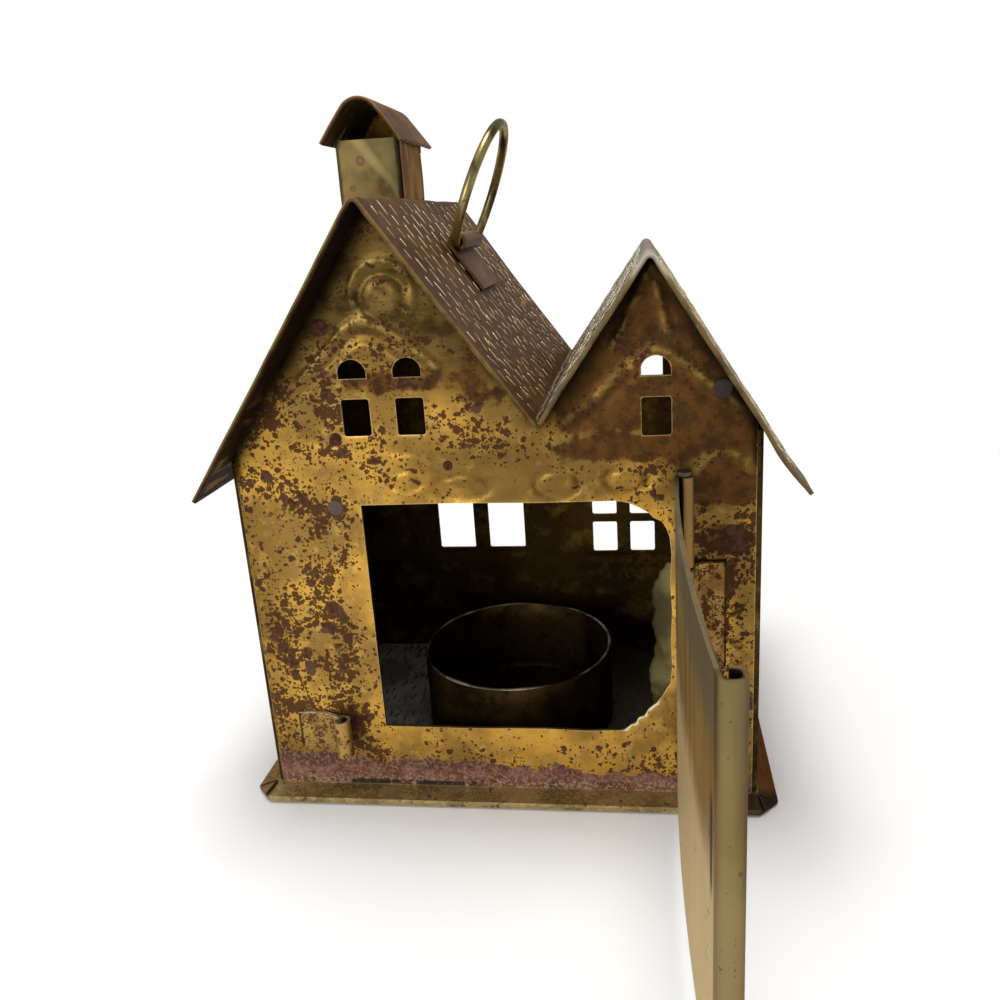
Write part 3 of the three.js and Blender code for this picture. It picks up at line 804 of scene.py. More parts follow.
def roof_patina(
    name, light, dark, shine, crest=None, glance="4a3a2c",
    lit_below=84, lit_from=ROOF_FRONT, inner="120c07", lining="8c6c34", along=(1, 0.25, 1),
):
    """Brown patina of pressed sheet, bare on its edges, with a painted highlight on its crest and painted
    shade underneath.

    The underside has streaks of painted reflection along the sheet, below one height and behind
    one place from the front.
    """
    finish = Finish(name)
    cloud = finish.noise(16, 4)
    grain = finish.noise(1.4, 4, 0.65, stretch=(1, 0.5, 1))
    ground = finish.mix(dark, light, finish.step(cloud + (grain - 0.5) * 0.5, 0.36, 0.64))
    ground = finish.mix(ground, "7e6550", finish.step(grain, 0.6, 0.72) * 0.4)
    streak = finish.step(finish.noise(2.6, 3, stretch=along), 0.54, 0.64)
    streak = streak * finish.fade(finish.axis("Z"), lit_below - 8, lit_below + 8)
    streak = streak * finish.step(finish.axis("Y"), lit_from, lit_from + 3)
    # Painted shade underneath, with streaks of painted reflection
    underside_shade = finish.mix(inner, lining, streak * 0.8)
    under = finish.value("under")
    # More painted shade under the main roof's left slope, and at its front edge
    left = finish.fade(finish.axis("X"), MAIN_RIDGE[0] - 1, MAIN_RIDGE[0])
    left_edge_shade = left * finish.step(under, 0.25, 0.6)
    ground = finish.mix(ground, underside_shade, (under | left_edge_shade) * 0.95)
    bare = finish.step(finish.value("edge"), 0.4, 0.9) * finish.step(finish.noise(5, 4), 0.3, 0.6)
    ground = finish.mix(ground, "7e6a3c", bare * (0.6 - 0.5 * left_edge_shade))
    if crest:
        # Pale crest: painted highlight over some wear, strongest near the front
        worn = finish.step(finish.axis("Z") + finish.noise(4, 3) * 3, crest, crest + 3)
        behind = finish.step(finish.axis("Y"), ROOF_FRONT + 4, ROOF_FRONT + 24)
        worn = worn * (1 - under) * (1 - 0.65 * behind)
        ground = finish.mix(ground, "d2ccbe", worn * 0.75)
    rough = 0.42 + 0.2 * (grain - 0.5)
    height = grain * 0.7 + cloud
    metal = shine - 0.5 * under
    return finish.apply(ground, rough + 0.25 * under, metal, finish.bump(height, 0.15, 0.5), glance)


def stroke_brass(name, light, dark):
    finish = Finish(name)
    ground = finish.mix(dark, light, finish.step(finish.noise(5, 3), 0.4, 0.6))
    return finish.apply(ground, 0.3, 0.6)


def polished_wire():
    finish = Finish("polished_brass_wire")
    cloud = finish.noise(6, 3, stretch=(1, 1, 0.5))
    ground = finish.mix("4a4029", "9c8c5c", finish.step(cloud, 0.4, 0.62))
    ground = finish.mix(ground, "3a3020", finish.step(finish.noise(1.2, 3), 0.58, 0.68) * 0.6)
    return finish.apply(ground, 0.3 + 0.15 * (cloud - 0.5), 0.85, glance="e8e2c4")


def chimney_brass():
    """Olive brass with a painted sheen, two ring-shaped stains, an amber side and a dark front corner."""
    finish = Finish("olive_stack_brass")
    cloud = finish.noise(9, 4)
    ground = finish.mix("4c3e26", "695936", finish.step(cloud, 0.38, 0.62))
    ground = finish.mix(ground, "74573a", finish.step(finish.noise(3, 4), 0.54, 0.66) * 0.6)
    across = finish.axis("X")
    height_over = finish.axis("Z")
    # A diagonal band of painted reflection over the front, darker greenish above it
    sheen = (height_over + across * 1.4 - 94.4 + (cloud - 0.5) * 5) * 0.58
    ground = finish.mix(ground, "5a5638", finish.step(sheen, 0.5, 2.5) * 0.45)
    ground = finish.mix(ground, "a89c66", finish.fade(finish.unsigned(sheen), 0.2, 1.5) * 0.22)
    right = finish.step(across, -19.8, -19.65)
    amber_cloud = finish.step(finish.noise(4, 3, stretch=(1, 1, 0.3)), 0.42, 0.6)
    ground = finish.mix(ground, finish.mix("a0783e", "c8a060", amber_cloud), right * 0.9)
    for centre, reach in (((-28.2, 0, 130), 1.0), ((-30.4, 0, 124.6), 0.6)):
        gap = finish.near(centre, reach) + (finish.noise(1.2, 2) - 0.5) * 0.5
        rim = finish.step(gap, 0.4, 0.7)
        stain = (0.45 + 0.4 * rim) * finish.fade(gap, 0.9, 1.15)
        ground = finish.mix(ground, "563c30", stain)
    crack = finish.step(across + (finish.noise(2.6, 4) - 0.5) * 1.6, -20.6, -20.2)
    crack = crack * finish.fade(finish.axis("Y"), 0.5, 1)
    ground = finish.mix(ground, "3a2a20", crack * 0.85)
    ground = finish.mix(ground, "1a130b", finish.value("under") * 0.85)
    height = cloud + finish.noise(2, 4) * 0.5
    return finish.apply(ground, 0.42, 0.72, finish.bump(height, 0.15, 0.4), "5a4830")


def streaked_brass():
    """The door: greyish brass with upright streaks inside, spotted gold outside."""
    finish = Finish("streaked_door_brass")
    streak = finish.noise(5, 3, stretch=(1, 1, 0.1))
    cloud = finish.noise(14, 3)
    height_over = finish.axis("Z")
    ground = finish.mix("8c7448", "bca068", finish.step(streak, 0.36, 0.64))
    ground = finish.mix(ground, "9c7c48", finish.step(cloud, 0.44, 0.62) * 0.5)
    patchy = height_over + (cloud - 0.5) * 10
    warm = finish.step(patchy, 47, 50) * finish.fade(patchy, 56, 60)
    ground = finish.mix(ground, "7a705c", finish.step(patchy, 57, 66) * 0.7)
    ground = finish.mix(ground, "a07e44", warm * 0.5)
    ground = finish.mix(ground, "e4cc9c", finish.fade(patchy, 40, 50) * 0.8)
    depth = finish.axis("Y")
    seam = finish.step(depth, -103.9, -103.4) * finish.fade(depth, -102.4, -101.6)
    seam = seam * finish.step(patchy, 38, 42) * finish.fade(patchy, 52, 56)
    ground = finish.mix(ground, "2e1d16", seam * 0.85)
    tube = finish.fade(depth, -104.6, -104)
    tube_tone = finish.mix("5e5034", "786741", finish.step(streak, 0.4, 0.6))
    ground = finish.mix(ground, tube_tone, tube * 0.85)
    knuckle = finish.step(depth, -39, -37)
    ground = finish.mix(ground, "8c6c38", knuckle * 0.8)
    outside = finish.value("outside") * finish.step(depth, -104, -103) * (1 - knuckle)
    gold = finish.mix("8a6a36", "bc9044", finish.step(finish.noise(12, 4), 0.4, 0.6))
    ground = finish.mix(ground, gold, outside)
    small, large = tarnish_spots(finish, 0.3 + 0.45 * outside)
    marks = small | large
    ground = finish.mix(ground, "57432f", marks * (0.7 - 0.7 * outside))
    ground = finish.mix(ground, "4c2c1c", marks * outside * 0.9)
    # Painted shade inside the rolled edge
    ground = finish.mix(ground, "171009", finish.value("hollow") * 0.9)
    height = streak + finish.noise(2, 3) * 0.4
    normal = finish.bump(height, 0.1, 0.4)
    return finish.apply(ground, 0.44 + 0.1 * marks, 0.7 - 0.3 * marks, normal, "8a7650")


def floor_with_painted_light():
    """The floor sheet with its feathered scratches, painted pale as light from the opening, with painted
    shade towards the right.
    """
    finish = Finish("scratched_dark_floor")
    rows = finish.noise(1.1, 2, stretch=(1, 0.3, 1))
    cloud = finish.noise(15, 4)
    # Pale tones: painted light from the opening
    ground = finish.mix("b0ab9a", "eeeadc", finish.step(cloud, 0.4, 0.62))
    ground = finish.mix(ground, "6e6858", finish.step(rows, 0.52, 0.64) * 0.7)
    # Painted shade towards the right
    far = finish.step(finish.axis("X"), 10, 22)
    ground = finish.mix(ground, "45341f", far * 0.9)
    return finish.apply(ground, 0.5, 0.2, finish.bump(rows, 0.15, 0.6))


def blister_finish():
    """Dark plum blisters; one by the right-hand eave and one by the opening are grey."""
    finish = Finish("plum_blister")
    tone = finish.mix("40231c", "56362c", finish.step(finish.noise(1.2, 3), 0.42, 0.6))
    for (x, z), grey in (((-30.4, 64.3), "5e4e46"), ((43.7, 85.7), "3e3834")):
        tone = finish.mix(tone, grey, finish.fade(finish.near((x, FRONT_Y, z), 4), 0.9, 1))
    return finish.apply(tone, 0.55, 0.25, finish.bump(finish.noise(0.8, 3), 0.1, 0.5), "5a4238")


def plain_finish(name, tone, rough, metal):
    finish = Finish(name)
    soft = finish.step(finish.noise(2, 3), 0.35, 0.65)
    return finish.apply(finish.mix(tone, "2a221a", soft * 0.35), rough, metal)


# Roof line and outlines

MAIN_LINE = bent_line([LEFT_EAVE, MAIN_RIDGE, VALLEY], RIDGE_RADIUS)
SMALL_LINE = bent_line([VALLEY, SMALL_RIDGE, RIGHT_EAVE], RIDGE_RADIUS)
UNDER_ROOF = offset_line(MAIN_LINE + SMALL_LINE[1:], -ROOF_SEAT)
# The slopes whose undersides face the camera, where the shade of the roof is widest
RISING_EAVES = ((LEFT_EAVE, MAIN_RIDGE), (VALLEY, SMALL_RIDGE))


def gable_outline(mirror=1):
    """The edge of a front or back sheet, from its foot up to the roofs."""
    left = (-HALF_WIDTH, height_on(UNDER_ROOF, -HALF_WIDTH))
    right = (HALF_WIDTH, height_on(UNDER_ROOF, HALF_WIDTH))
    top = [p for p in UNDER_ROOF if abs(p[0]) < HALF_WIDTH]
    loop = [(-HALF_WIDTH, TOP), (HALF_WIDTH, TOP), right, *reversed(top), left]
    return [(mirror * x, z) for x, z in (loop if mirror == 1 else reversed(loop))]


def pane_loop(centre, sill, size):
    """A window hole with slightly rounded corners."""
    left, right, top = centre - size[0] / 2, centre + size[0] / 2, sill + size[1]
    corners = [(centre, sill), (right, sill), (right, top), (left, top), (left, sill), (centre, sill)]
    return bent_line(corners, 0.5, 3)[:-1]


def arch_loop(centre, sill):
    """The small round-headed hole over a gable window."""
    radius = PANE[0] / 2
    spring = sill + ARCH_HEIGHT - radius
    head = ring_line((centre, spring), radius, 0, 180, 16)
    return [(centre - radius, sill), (centre + radius, sill), *head]


def gable_holes(drop, mirror=1):
    """The gable windows, each with its arch; drop is how much lower they are at the back."""
    holes = []
    for x, sill in GABLE_PANES:
        low = sill - drop
        holes += [pane_loop(mirror * x, low, PANE), arch_loop(mirror * x, low + ARCH_RISE)]
    return holes


# Front wall

# The opening: clean on the left, torn along the hinge side
OPENING = [
    (-25.3, 64.7), (-25.3, 15.9), (-8, 15.7), (8, 15.9), (17, 15.6), (24.6, 15.8),
    (25.7, 16.8), (26.8, 17.3), (27.4, 18.6), (28.6, 19.1), (29.4, 20.6), (31, 21.8),
    (32.4, 24.2), (33.8, 26.6), (34.2, 30), (34, 36), (34.3, 42), (34, 48), (34.3, 54),
    (34, 57.4), (33.4, 59.2), (32.6, 60.6), (31, 61.4), (30.2, 62.4), (28.5, 63.5),
    (26.6, 64.4), (24, 64.9), (10, 64.7), (-8, 64.9),
]
# Parts of its outline: the whole torn side, the part with a painted highlight, the part with a painted
# glint
TORN_SIDE = OPENING[4:24]
LOW_TEAR = OPENING[5:14]
GLINT_ON_TEAR = OPENING[5:12]
MEDALLION_RING = ring_line((-17, 105), 5.6, -40, 280)
MOON = (-16.9, 104.1)
MOON_HOLLOW = ring_line(MOON, 4.6, 20, 150)
MAIN_HOOD = [(-34, 89.5), (-28.8, 94.5), (-25, 98.5), (-22.4, 100), (-19.6, 99.8), (-16, 97.8),
             (-12.6, 95.3), (-8, 91.2)]
MAIN_BROW = [(-27, 91.5), (-24.5, 94.2), (-21.5, 95.6), (-18.6, 95), (-15, 92.6), (-10, 89.6)]
SMALL_HOOD = [(15.5, 80.5), (20.4, 84.3), (24.2, 87.8), (28.3, 91.4), (32, 93.4), (34.6, 92.4),
              (38, 89.6), (42.3, 86), (46.2, 83)]
GABLE_FOLDS = [[(31.4, 108), (28.4, 102), (24.3, 94)], [(32, 104.6), (34, 96)],
               [(31.8, 108), (36.5, 101.5), (40.6, 95.4)]]
WINDOW_SWEEPS = [[(-35, 80.6), (-33.4, 78), (-31, 76.6), (-29, 77)],
                 [(-20, 76.6), (-18, 75.4), (-15, 75.2)], [(19.5, 84.6), (24, 85.6), (28, 85.4)]]
RIGHT_SWEEPS = [[(38.7, 71), (40.5, 73.3), (44.5, 74.3), (47.6, 72.8), (48.1, 71)],
                [(38, 61.8), (42.8, 62.9), (48.2, 61.6)]]
UNDER_WINDOW = [(14, 77), (24, 78.5), (29, 78)]
CUSHIONS = [((-4.6, 68.2), (5.6, 2.6)), ((13.4, 68.4), (4.6, 2.9)), ((-16, 69.5), (3.6, 2)),
            ((26.5, 69), (4.4, 2.4))]
# How far from its upright edges a front or back sheet begins to bend back
FOLD_REACH = 1.1


def side_fold(u):
    """How far the sheet bends back towards its upright edges."""
    past = np.abs(u) - (HALF_WIDTH - FOLD_REACH)
    return 0.5 * np.clip(past / FOLD_REACH, 0, 1) ** 2


def front_relief(u, v):
    """How far the sheet stands out, in millimetres; the door's reach keeps it low below 71."""
    out = 0.11 * ripple(u, v, 13, 4) * smooth(v, 66, 76) + 0.05 * ripple(u, v, 6, 8)
    out = out + ribs(
        u, v,
        (0.32, MEDALLION_RING, 0.7), (-0.3, MOON_HOLLOW, 0.6),
        (0.6, MAIN_HOOD, 0.9), (0.35, MAIN_BROW, 0.6), (-0.3, moved_line(MAIN_HOOD, 1.9), 0.8),
        (0.5, SMALL_HOOD, 1.0), (-0.28, moved_line(SMALL_HOOD, 2.2), 0.9),
        *[(0.5, line, 0.6) for line in GABLE_FOLDS],
        *[(-0.35, line, 0.8) for line in WINDOW_SWEEPS],
        *[(0.2, line, 0.8) for line in RIGHT_SWEEPS],
    )
    out = out + 0.28 * fade(np.hypot(u - MOON[0], v - MOON[1]), 2.6, 4.1)
    out = out + patches(u, v, (0.3, (-26.4, 103), (1.7, 2.6)), (0.3, (-9.4, 99.5), (1.5, 2.6)))
    for x, sill in GABLE_PANES:
        under_sill = level_line(x, 3.6, sill - 0.8)
        over_pane = level_line(x, 3.4, sill + 9)
        out = out + ribs(u, v, (0.16, under_sill, 0.5), (0.2, over_pane, 0.8))
    for centre, reach in CUSHIONS:
        bulge = patch(u, v, centre, reach) ** 0.6
        out = out - 0.42 * np.abs(smooth(bulge, 0.42, 0.6) - smooth(bulge, 0.6, 0.82))
    sunk = 0.5 * rib(u, v, TORN_SIDE, 0.7) * (u > 24) * (0.6 + 0.4 * ripple(u, v, 3, 5))
    return out - side_fold(u) - sunk


def front_marks(u, v):
    """Where the front wall has painted shade, brown, spots, plum and ridges rubbed bright, with painted
    shadow under the eaves and a painted highlight along the torn edge.
    """
    shade = smooth(v, 80, 102) * fade(u, 8, 16) + smooth(v, 88, 102) * (u > 12)
    shade = shade + 0.4 * smooth(u, 36, 42) * smooth(v, 20, 50)
    shade = shade + 0.3 * smooth(u, -12, 0) * smooth(v, 71, 80)
    shade = shade + 0.42 * smooth(u, -24, -14) * smooth(v, 63, 67) * fade(v, 73, 80)
    shade = shade + 0.35 * smooth(u, 45, 48) * fade(v, 44, 60)
    shade = shade + 0.25 * fade(u, -47, -41) * fade(v, 60, 72)
    shade = shade + 0.3 * patch(u, v, (-37, 79), (17, 11))
    brown = 0.3 * smooth(v, 80, 96) * fade(u, 8, 16)
    brown = brown + 0.9 * smooth(u, 9, 17) * smooth(v, 69.5, 74 + 0.06 * u)
    brown = brown + patches(
        u, v,
        (0.45, (0, 84), (8, 9)), (0.55, (-18, 88.5), (13, 2.6)), (0.75, (44, 66), (8, 4)),
        (0.7, (45, 57), (7, 3.4)), (0.4, (-44, 74), (9, 4)), (-0.3, (-17, 104), (6.5, 7)),
        (0.42, (46, 35), (6, 28)), (0.6, (42, 70), (9, 5)),
    )
    brown = brown - ribs(
        u, v,
        (0.4, SMALL_HOOD, 1.0), (0.4, UNDER_WINDOW, 1.4),
        *[(0.55, line, 1.5) for line in RIGHT_SWEEPS],
    )
    spots = 0.52 + 0.45 * fade(u, -31, -24) * fade(v, 84, 98) + 0.15 * smooth(v, 84, 90)
    spots = spots + 0.6 * smooth(u, 36, 40) * fade(v, 60, 68)
    spots = spots + 0.25 * fade(v, 9, 13) - 0.15 * smooth(v, 96, 104)
    spots = spots + patches(
        u, v,
        (0.42, (-38, 76), (18, 10)), (0.3, (-5, 77), (18, 7)), (0.4, (27, 72), (13, 4.5)),
        (-0.2, (-27.5, 40), (2.5, 22)), (-0.15, (5, 13.5), (22, 3)), (-0.25, (5, 68), (22, 4)),
    )
    foot = 9.3 - 0.047 * (u + 50)
    plum = fade(v + 0.9 * ripple(u, v, 7, 11), foot - 1.6, foot + 1.8)
    # Ridges rubbed bright; the strong rib along the lower tear is a painted highlight
    worn = 0.25 * fade(np.hypot(u - MOON[0], v - MOON[1]), 2.4, 4) + ribs(
        u, v,
        (0.45, MEDALLION_RING, 0.6), (0.7, MAIN_HOOD, 0.7), (0.35, MAIN_BROW, 0.5),
        (0.4, SMALL_HOOD, 0.8), (1.3, LOW_TEAR, 0.6),
        *[(0.6, line, 0.5) for line in (*GABLE_FOLDS, *RIGHT_SWEEPS)],
    )
    # Painted shadow under the roofs' overhang, widest under the rising slopes
    eaves = np.maximum(rib(u, v, UNDER_ROOF, 1.8), rib(u, v, RISING_EAVES[0], 2.6))
    eaves = np.maximum(eaves, 1.25 * rib(u, v, RISING_EAVES[1], 3.2))
    return shares(
        shade=shade, brown=brown, eaves=eaves, torn=rib(u, v, GLINT_ON_TEAR, 0.8), spots=spots,
        plum=plum, worn=0.75 * worn,
    )


def at_front(u, v, out):
    """A point of the front sheet in the house."""
    return (u, FRONT_Y - out, v)


def make_front_wall(material):
    mesh = plate_mesh(
        "front_wall_sheet", gable_outline(), [OPENING, *gable_holes(0)], 0.75,
        at_front, front_relief, front_marks,
    )
    add_piece("front_wall_sheet", mesh, material, "house", "gold_brass", ["front_wall"])


# Height and x of the flap's torn edge, and the x and y of its root
FLAP_EDGE = [(20.4, 30.4), (24, 29.8), (27.4, 29.8), (31, 30.8), (34, 31.3), (38, 30.6), (40.9, 31),
             (44, 30.4), (46.8, 30.9), (49.2, 32.1), (51.9, 33.6)]
FLAP_ROOT = (34.4, -31.3)
FLAP_SHEET = 0.5


def make_opening_flap(material):
    """The leftover strip of the cut sheet, bent inwards along the opening's hinge side."""
    root_x, root_y = FLAP_ROOT
    across = np.linspace(0, 1, 9)
    line = divided(FLAP_EDGE, 0.5)
    verts = []
    for z, torn in line:
        reach = root_x - torn + 0.25 * ripple(z, 0, 2.2, 3)
        bend = [(root_x - reach * share, root_y + 0.75 * reach * share ** 1.4) for share in across]
        verts += [(x, y, z) for x, y in bend]
        verts += [(x, y + FLAP_SHEET, z) for x, y in bend]
    count = len(across)
    row, last = 2 * count, len(verts) - 2 * count
    # Steps along both sides of the sheet, then over its two long edges
    steps = [(k, k + 1) for k in range(row - 1) if k != count - 1]
    steps += [(0, count), (count - 1, row - 1)]
    faces = [
        (base + a, base + b, base + b + row, base + a + row)
        for base in range(0, last, row) for a, b in steps
    ]
    for base in (0, last):
        ends = range(base, base + count - 1)
        faces += [(k, k + 1, k + 1 + count, k + count) for k in ends]
    mesh = finished_mesh("opening_flap", verts, faces, 60)
    add_piece("opening_flap", mesh, material, "house", "gold_brass")


# Centre x and z, and radius of each blister
DOMES = (
    ((-29.4, 99.3), 1.65), ((-28.7, 78), 1.4), ((-30.4, 64.3), 1.65), ((43.7, 85.7), 1.85),
    ((-7.4, 72.4), 1), ((31, 66.3), 0.65), ((30.3, 11.6), 0.6),
)
# The rings of a blister from its foot inwards: share of its radius, and how far out it stands
DOME_RINGS = ((1, -0.22), (0.94, 0.12), (0.78, 0.2), (0.5, 0.24), (0.3, 0.22), (0.16, 0.3))
DOME_TIP = 0.32
DOME_ROOT = -0.25


def make_domes(material):
    """Round corrosion blisters on the front wall, flat domes with a small pip."""
    verts, faces = [], []
    steps = 20
    for (x, z), radius in DOMES:
        lift = front_relief(np.array([x]), np.array([z]))[0]
        start = len(verts)
        for share, out in DOME_RINGS:
            for k in range(steps):
                turn = math.tau * k / steps
                u = x + radius * share * math.cos(turn) * (1 + 0.06 * math.sin(3 * turn + x))
                v = z + radius * share * math.sin(turn)
                verts.append(at_front(u, v, lift + out))
        last = len(verts) - steps
        verts += [at_front(x, z, lift + DOME_TIP), at_front(x, z, lift + DOME_ROOT)]
        faces += bands(len(DOME_RINGS), steps, start)
        faces += fan(last, steps, len(verts) - 2)
        faces += fan(start, steps, len(verts) - 1)
    mesh = finished_mesh("wall_domes", verts, faces, 60)
    add_piece("wall_domes", mesh, material, "house", "brown_brass")


# Back and side walls

BACK_HOODS = [moved_line(line, BACK_PANE_DROP, -1) for line in (MAIN_HOOD, SMALL_HOOD)]
BACK_FOLDS = [moved_line(line, 0, -1) for line in GABLE_FOLDS]


def back_relief(u, v):
    """How far the back sheet stands out; u runs the other way than x."""
    sills = [level_line(-x, 6, sill - 1.6) for x, sill in (*TALL_PANES, *CROSS_PANES[:2])]
    out = 0.1 * ripple(u, v, 14, 21) + 0.05 * ripple(u, v, 6, 22)
    out = out + ribs(
        u, v,
        *[(0.4, line, 1.0) for line in BACK_HOODS], *[(0.2, line, 0.7) for line in sills],
        *[(0.35, line, 0.7) for line in BACK_FOLDS],
    )
    return out - side_fold(u)


def back_marks(u, v):
    """Where the back wall is shaded, brown, spotted, plum and rubbed bright on its ridges."""
    return shares(
        shade=0.6 * smooth(v, 84, 104),
        brown=0.6 * smooth(v, 74, 96) + 0.35 * ripple(u, v, 26, 31),
        spots=0.5 + 0.4 * ripple(u, v, 30, 33),
        plum=fade(v + 0.9 * ripple(u, v, 7, 12), 5, 8),
        worn=ribs(u, v, *[(0.45, line, 0.9) for line in BACK_HOODS]),
    )


def at_back(u, v, out):
    """A point of the back sheet in the house."""
    return (-u, BACK_Y + out, v)


def make_back_wall(material):
    holes = [pane_loop(-x, sill, TALL_PANE) for x, sill in TALL_PANES]
    holes += [pane_loop(-x, sill, CROSS_PANE) for x, sill in CROSS_PANES]
    holes += gable_holes(BACK_PANE_DROP, -1)
    mesh = plate_mesh(
        "back_wall_sheet", gable_outline(-1), holes, 0.95, at_back, back_relief, back_marks, 2,
    )
    add_piece("back_wall_sheet", mesh, material, "house", "gold_brass", ["back_wall"])


def standing(p, q, a):
    """A point of an upright sheet, seen from above at p and q, at the height a."""
    return (p, q, a)


def make_side_wall(name, side, material):
    """A side wall, its two tabs bent in behind the front and back walls."""
    middle = (SIDE_INNER + SIDE_OUTER) / 2
    tab_y = BACK_Y - 1.5 * WALL_SHEET
    corners = [(TAB_END, -tab_y), (middle, -tab_y), (middle, tab_y), (TAB_END, tab_y)]
    line = divided(bent_line([(side * x, y) for x, y in corners], 0.8, 6), 1.6)

    def wave(s, a):
        flat = np.clip(1 - np.abs(s - s[-1] / 2) / 26, 0, 1) ** 0.5
        low = smooth(a, TOP, TOP + 8) * fade(a, 64, 70)
        return -side * 0.35 * flat * low * (0.5 + 0.6 * ripple(s, a, 24, 41 + side))

    def marks(s, a, under):
        outer = under if side == 1 else 1 - under
        # The inner face and the tabs behind the front and back walls get painted shade
        tabs = fade(np.minimum(s, s.max() - s), 6.5, 8.5)
        return shares(
            brown=0.3 + 0.3 * ripple(s, a, 28, 51 + side),
            spots=0.6 + 0.35 * ripple(s, a, 24, 53 + side),
            plum=fade(a + 0.9 * ripple(s, a, 7, 55), 4, 8),
            soot=np.maximum(1 - outer, tabs),
        )

    mesh = swept_mesh(
        name + "_sheet", line, WALL_SHEET / 2, -WALL_SHEET / 2,
        TOP, height_on(UNDER_ROOF, side * SIDE_OUTER), 1.6, standing, wave, marks,
    )
    add_piece(name + "_sheet", mesh, material, "house", "gold_brass", [name])


# Roofs


def main_wave(s, a):
    return 0.13 * ripple(s, a, 34, 61) + 0.05 * ripple(s, a, 11, 62) - 0.1


def small_wave(s, a):
    """The small roof's unevenness, with its kink near the right eave, strongest in front."""
    end = run_along(SMALL_LINE, SMALL_LINE[-1])
    kink = 0.9 * np.exp(-((s - end) / 3.2) ** 2) - 0.5 * np.exp(-((s - end + 9) / 4) ** 2)
    near_front = 0.4 + 0.6 * fade(a, -30, -10)
    return 0.13 * ripple(s, a, 30, 63) + 0.05 * ripple(s, a, 10, 64) - 0.1 + kink * near_front * 0.6


def roof_marks(s, a, under):
    """Where a roof is bare along its edges, and which side looks down."""
    ends = fade_out(np.minimum(a - ROOF_FRONT, ROOF_BACK - a), 0.7)
    eaves = fade_out(np.minimum(s, s.max() - s), 0.8)
    return shares(edge=np.maximum(ends, eaves), under=under)


def along_house(p, q, a):
    """A point of a sheet that runs from front to back, seen from the front at p and q."""
    return (p, a, q)


def make_roof(name, line, wave, material):
    mesh = swept_mesh(
        name + "_sheet", divided(line, 1.5), 0, -ROOF_SHEET, ROOF_FRONT, ROOF_BACK, 1.5,
        along_house, wave, roof_marks,
    )
    add_piece(name + "_sheet", mesh, material, "house", "roof_brass", [name])


def make_roofs(main_material, small_material):
    make_roof("main_roof", MAIN_LINE, main_wave, main_material)
    # The small roof begins a solder gap of 0.3 mm away from the main one
    start = Vector(VALLEY) + direction(VALLEY, SMALL_RIDGE) * 0.3
    small_line = bent_line([tuple(start), SMALL_RIDGE, RIGHT_EAVE], RIDGE_RADIUS)
    make_roof("small_roof", small_line, small_wave, small_material)


class ShapeTree(NodeTree):
    """A Geometry Nodes tree with named inputs."""

    def __init__(self, name, inputs):
        self.group = bpy.data.node_groups.new(name, "GeometryNodeTree")
        super().__init__(self.group)
        self.ids = {}
        for label, kind, value in inputs:
            socket = self.group.interface.new_socket(label, in_out="INPUT", socket_type=kind)
            if value is not None:
                socket.default_value = value
            self.ids[label] = socket.identifier
        self.group.interface.new_socket("Geometry", in_out="OUTPUT", socket_type="NodeSocketGeometry")
        outputs = self.nodes.new("NodeGroupInput").outputs
        self.given = {label: Socket(self, outputs[label]) for label in self.ids}

    def random(self, low, high, seed):
        """A number of its own for each point."""
        inputs = {2: low, 3: high, "Seed": seed}
        return self.node("FunctionNodeRandomValue", {"data_type": "FLOAT"}, inputs, 1)

    def finish(self, geometry):
        self.connect(self.nodes.new("NodeGroupOutput").inputs["Geometry"], geometry)

    def mesh(self, name, values):
        """Runs the tree once and returns its result as a plain mesh."""
        holder = bpy.data.objects.new(name, bpy.data.meshes.new(name + "_start"))
        bpy.context.scene.collection.objects.link(holder)
        modifier = holder.modifiers.new("tree", "NODES")
        modifier.node_group = self.group
        for label, value in values.items():
            modifier[self.ids[label]] = value
        graph = bpy.context.evaluated_depsgraph_get()
        mesh = bpy.data.meshes.new_from_object(holder.evaluated_get(graph))
        mesh.name = name
        bpy.data.objects.remove(holder)
        return mesh


